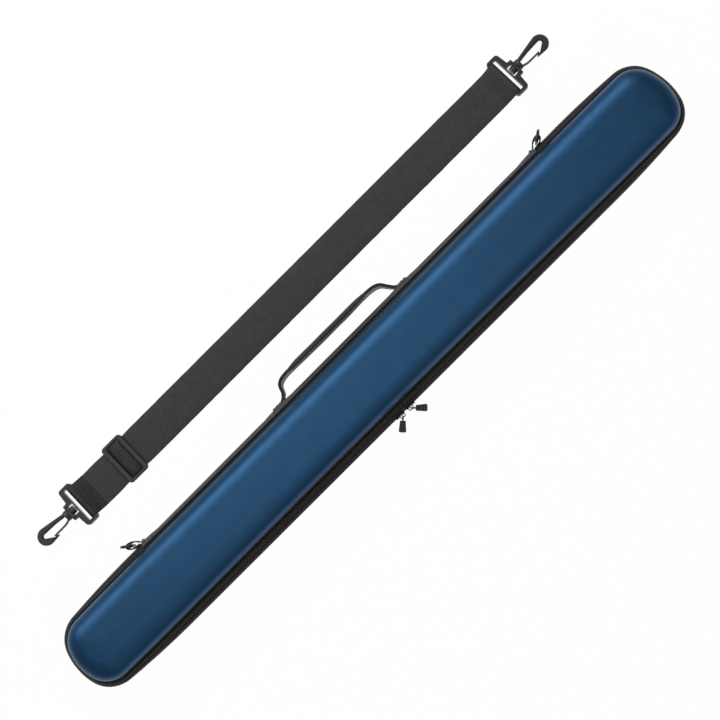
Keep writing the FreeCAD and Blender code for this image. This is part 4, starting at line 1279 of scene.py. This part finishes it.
def area_light(name, place, size, power):
    """A softbox that faces the case."""
    target = Vector((0, 0, 0.03))
    lamp = bpy.data.lights.new(name, "AREA")
    lamp.shape = "RECTANGLE"
    lamp.size, lamp.size_y = size
    lamp.energy = power
    made = bpy.data.objects.new(name, lamp)
    made.location = place
    made.rotation_euler = (target - place).to_track_quat("-Z", "Y").to_euler()
    bpy.context.scene.collection.objects.link(made)


def make_stage():
    """Floor, soft light, and the camera above the case, turned so that it runs corner to corner."""
    scene = bpy.context.scene
    mesh = bpy.data.meshes.new("floor")
    far = 6.0
    corners = [(-far, -far, 0), (far, -far, 0), (far, far, 0), (-far, far, 0)]
    mesh.from_pydata(corners, [], [(0, 1, 2, 3)])
    mesh.materials.append(floor_material())
    floor = bpy.data.objects.new("floor", mesh)
    floor.location.z = -0.0005
    scene.collection.objects.link(floor)
    world = bpy.data.worlds.new("Soft studio")
    world.use_nodes = True
    background = world.node_tree.nodes["Background"]
    background.inputs["Color"].default_value = (1, 1, 1, 1)
    background.inputs["Strength"].default_value = 0.20
    scene.world = world
    area_light("Long softbox by the handle", Vector((0, 1.44, 1.42)), (2.6, 0.62), 25)
    area_light("Overhead softbox", Vector((-0.1, -0.05, 2.3)), (2.2, 1.5), 11)
    area_light("Low fill by the zip", Vector((0, -1.3, 1.5)), (2.4, 1.4), 4)
    tilt = math.radians(8.8)
    looking = Vector((0, math.sin(tilt), -math.cos(tilt)))
    up = Vector((0, math.cos(tilt), math.sin(tilt)))
    target = Vector((0.002, 0.0218, middle))
    distance = 1.35
    camera = bpy.data.cameras.new("Camera")
    camera.sensor_width = 36.0
    camera.lens = 67.5
    camera.clip_end = 30.0
    made = bpy.data.objects.new("Camera", camera)
    right = (X_AXIS - up).normalized()
    top = (X_AXIS + up).normalized()
    turn = Matrix((right, top, -looking)).transposed().to_4x4()
    made.matrix_world = Matrix.Translation(target - looking * distance) @ turn
    scene.collection.objects.link(made)
    scene.camera = made
    scene.view_settings.view_transform = "Standard"


# ---- Operators, panel and running order -----------------------------------------------------

class CueOperator:
    """What every operator here shares."""
    bl_options = {"REGISTER", "UNDO"}

    def execute(self, context):
        self.build(context.scene)
        return {"FINISHED"}


class CUE_OT_stage(CueOperator, bpy.types.Operator):
    """Add the floor, lights and camera"""
    bl_idname = "cue.stage"
    bl_label = "Stage"

    def build(self, scene):
        make_stage()


class CUE_OT_shells(CueOperator, bpy.types.Operator):
    """Make the two moulded shells"""
    bl_idname = "cue.shells"
    bl_label = "Shells"

    def build(self, scene):
        make_shells(scene.cue_case)


class CUE_OT_bands(CueOperator, bpy.types.Operator):
    """Make the cloth sides between the shells and the zip"""
    bl_idname = "cue.bands"
    bl_label = "Side covers"

    def build(self, scene):
        make_bands(scene.cue_case)


class CUE_OT_zip(CueOperator, bpy.types.Operator):
    """Make the zip's tapes, stitching and coil"""
    bl_idname = "cue.zip"
    bl_label = "Zip"

    def build(self, scene):
        make_zip(scene.cue_case)


class CUE_OT_spine(CueOperator, bpy.types.Operator):
    """Make the cloth spine with its welts and cuffs"""
    bl_idname = "cue.spine"
    bl_label = "Spine"

    def build(self, scene):
        make_spine(scene.cue_case)
        make_cuffs(scene.cue_case)


class CUE_OT_rings(CueOperator, bpy.types.Operator):
    """Make the D-rings and their loops"""
    bl_idname = "cue.rings"
    bl_label = "D-rings"

    def build(self, scene):
        make_rings(scene.cue_strap)


class CUE_OT_handle(CueOperator, bpy.types.Operator):
    """Make the handle and its padded grip"""
    bl_idname = "cue.handle"
    bl_label = "Handle"

    def build(self, scene):
        make_handle(scene.cue_strap)


class CUE_OT_sliders(CueOperator, bpy.types.Operator):
    """Finish the zip sliders and their pulls"""
    bl_idname = "cue.sliders"
    bl_label = "Sliders"

    def build(self, scene):
        make_sliders()


class CUE_OT_foam(CueOperator, bpy.types.Operator):
    """Make the foam tray, its elastic bands and the lid's pad"""
    bl_idname = "cue.foam"
    bl_label = "Foam"

    def build(self, scene):
        make_tray(scene.cue_case)
        make_pad(scene.cue_case)


class CUE_OT_strap(CueOperator, bpy.types.Operator):
    """Make the shoulder strap's webbing"""
    bl_idname = "cue.strap"
    bl_label = "Shoulder strap"

    def build(self, scene):
        make_strap(scene.cue_strap)


class CUE_OT_fittings(CueOperator, bpy.types.Operator):
    """Finish the hooks, hook rings and glide"""
    bl_idname = "cue.fittings"
    bl_label = "Strap fittings"

    def build(self, scene):
        make_fittings(scene.cue_strap)


operators = (CUE_OT_stage, CUE_OT_shells, CUE_OT_bands, CUE_OT_zip, CUE_OT_spine, CUE_OT_rings,
             CUE_OT_handle, CUE_OT_sliders, CUE_OT_foam, CUE_OT_strap, CUE_OT_fittings)


class CUE_PT_panel(bpy.types.Panel):
    """Lists the steps in the sidebar"""
    bl_label = "Cue Case"
    bl_idname = "CUE_PT_panel"
    bl_space_type = "VIEW_3D"
    bl_region_type = "UI"
    bl_category = "Cue Case"

    def draw(self, context):
        for operator in operators:
            self.layout.operator(operator.bl_idname)
        for group in (context.scene.cue_case, context.scene.cue_strap, context.scene.cue_finishes):
            box = self.layout.box()
            for key in group.bl_rna.properties.keys():
                if key not in ("rna_type", "name"):
                    box.prop(group, key)


groups = (CaseSizes, StrapSizes, Finishes)


def register():
    for cls in groups + operators + (CUE_PT_panel,):
        bpy.utils.register_class(cls)
    bpy.types.Scene.cue_case = PointerProperty(type=CaseSizes)
    bpy.types.Scene.cue_strap = PointerProperty(type=StrapSizes)
    bpy.types.Scene.cue_finishes = PointerProperty(type=Finishes)


def unregister():
    del bpy.types.Scene.cue_case
    del bpy.types.Scene.cue_strap
    del bpy.types.Scene.cue_finishes
    for cls in (CUE_PT_panel,) + operators[::-1] + groups[::-1]:
        bpy.utils.unregister_class(cls)


def main():
    register()
    for operator in operators:
        getattr(bpy.ops.cue, operator.bl_idname.split(".")[1])()


if __name__ == "__main__":
    main()
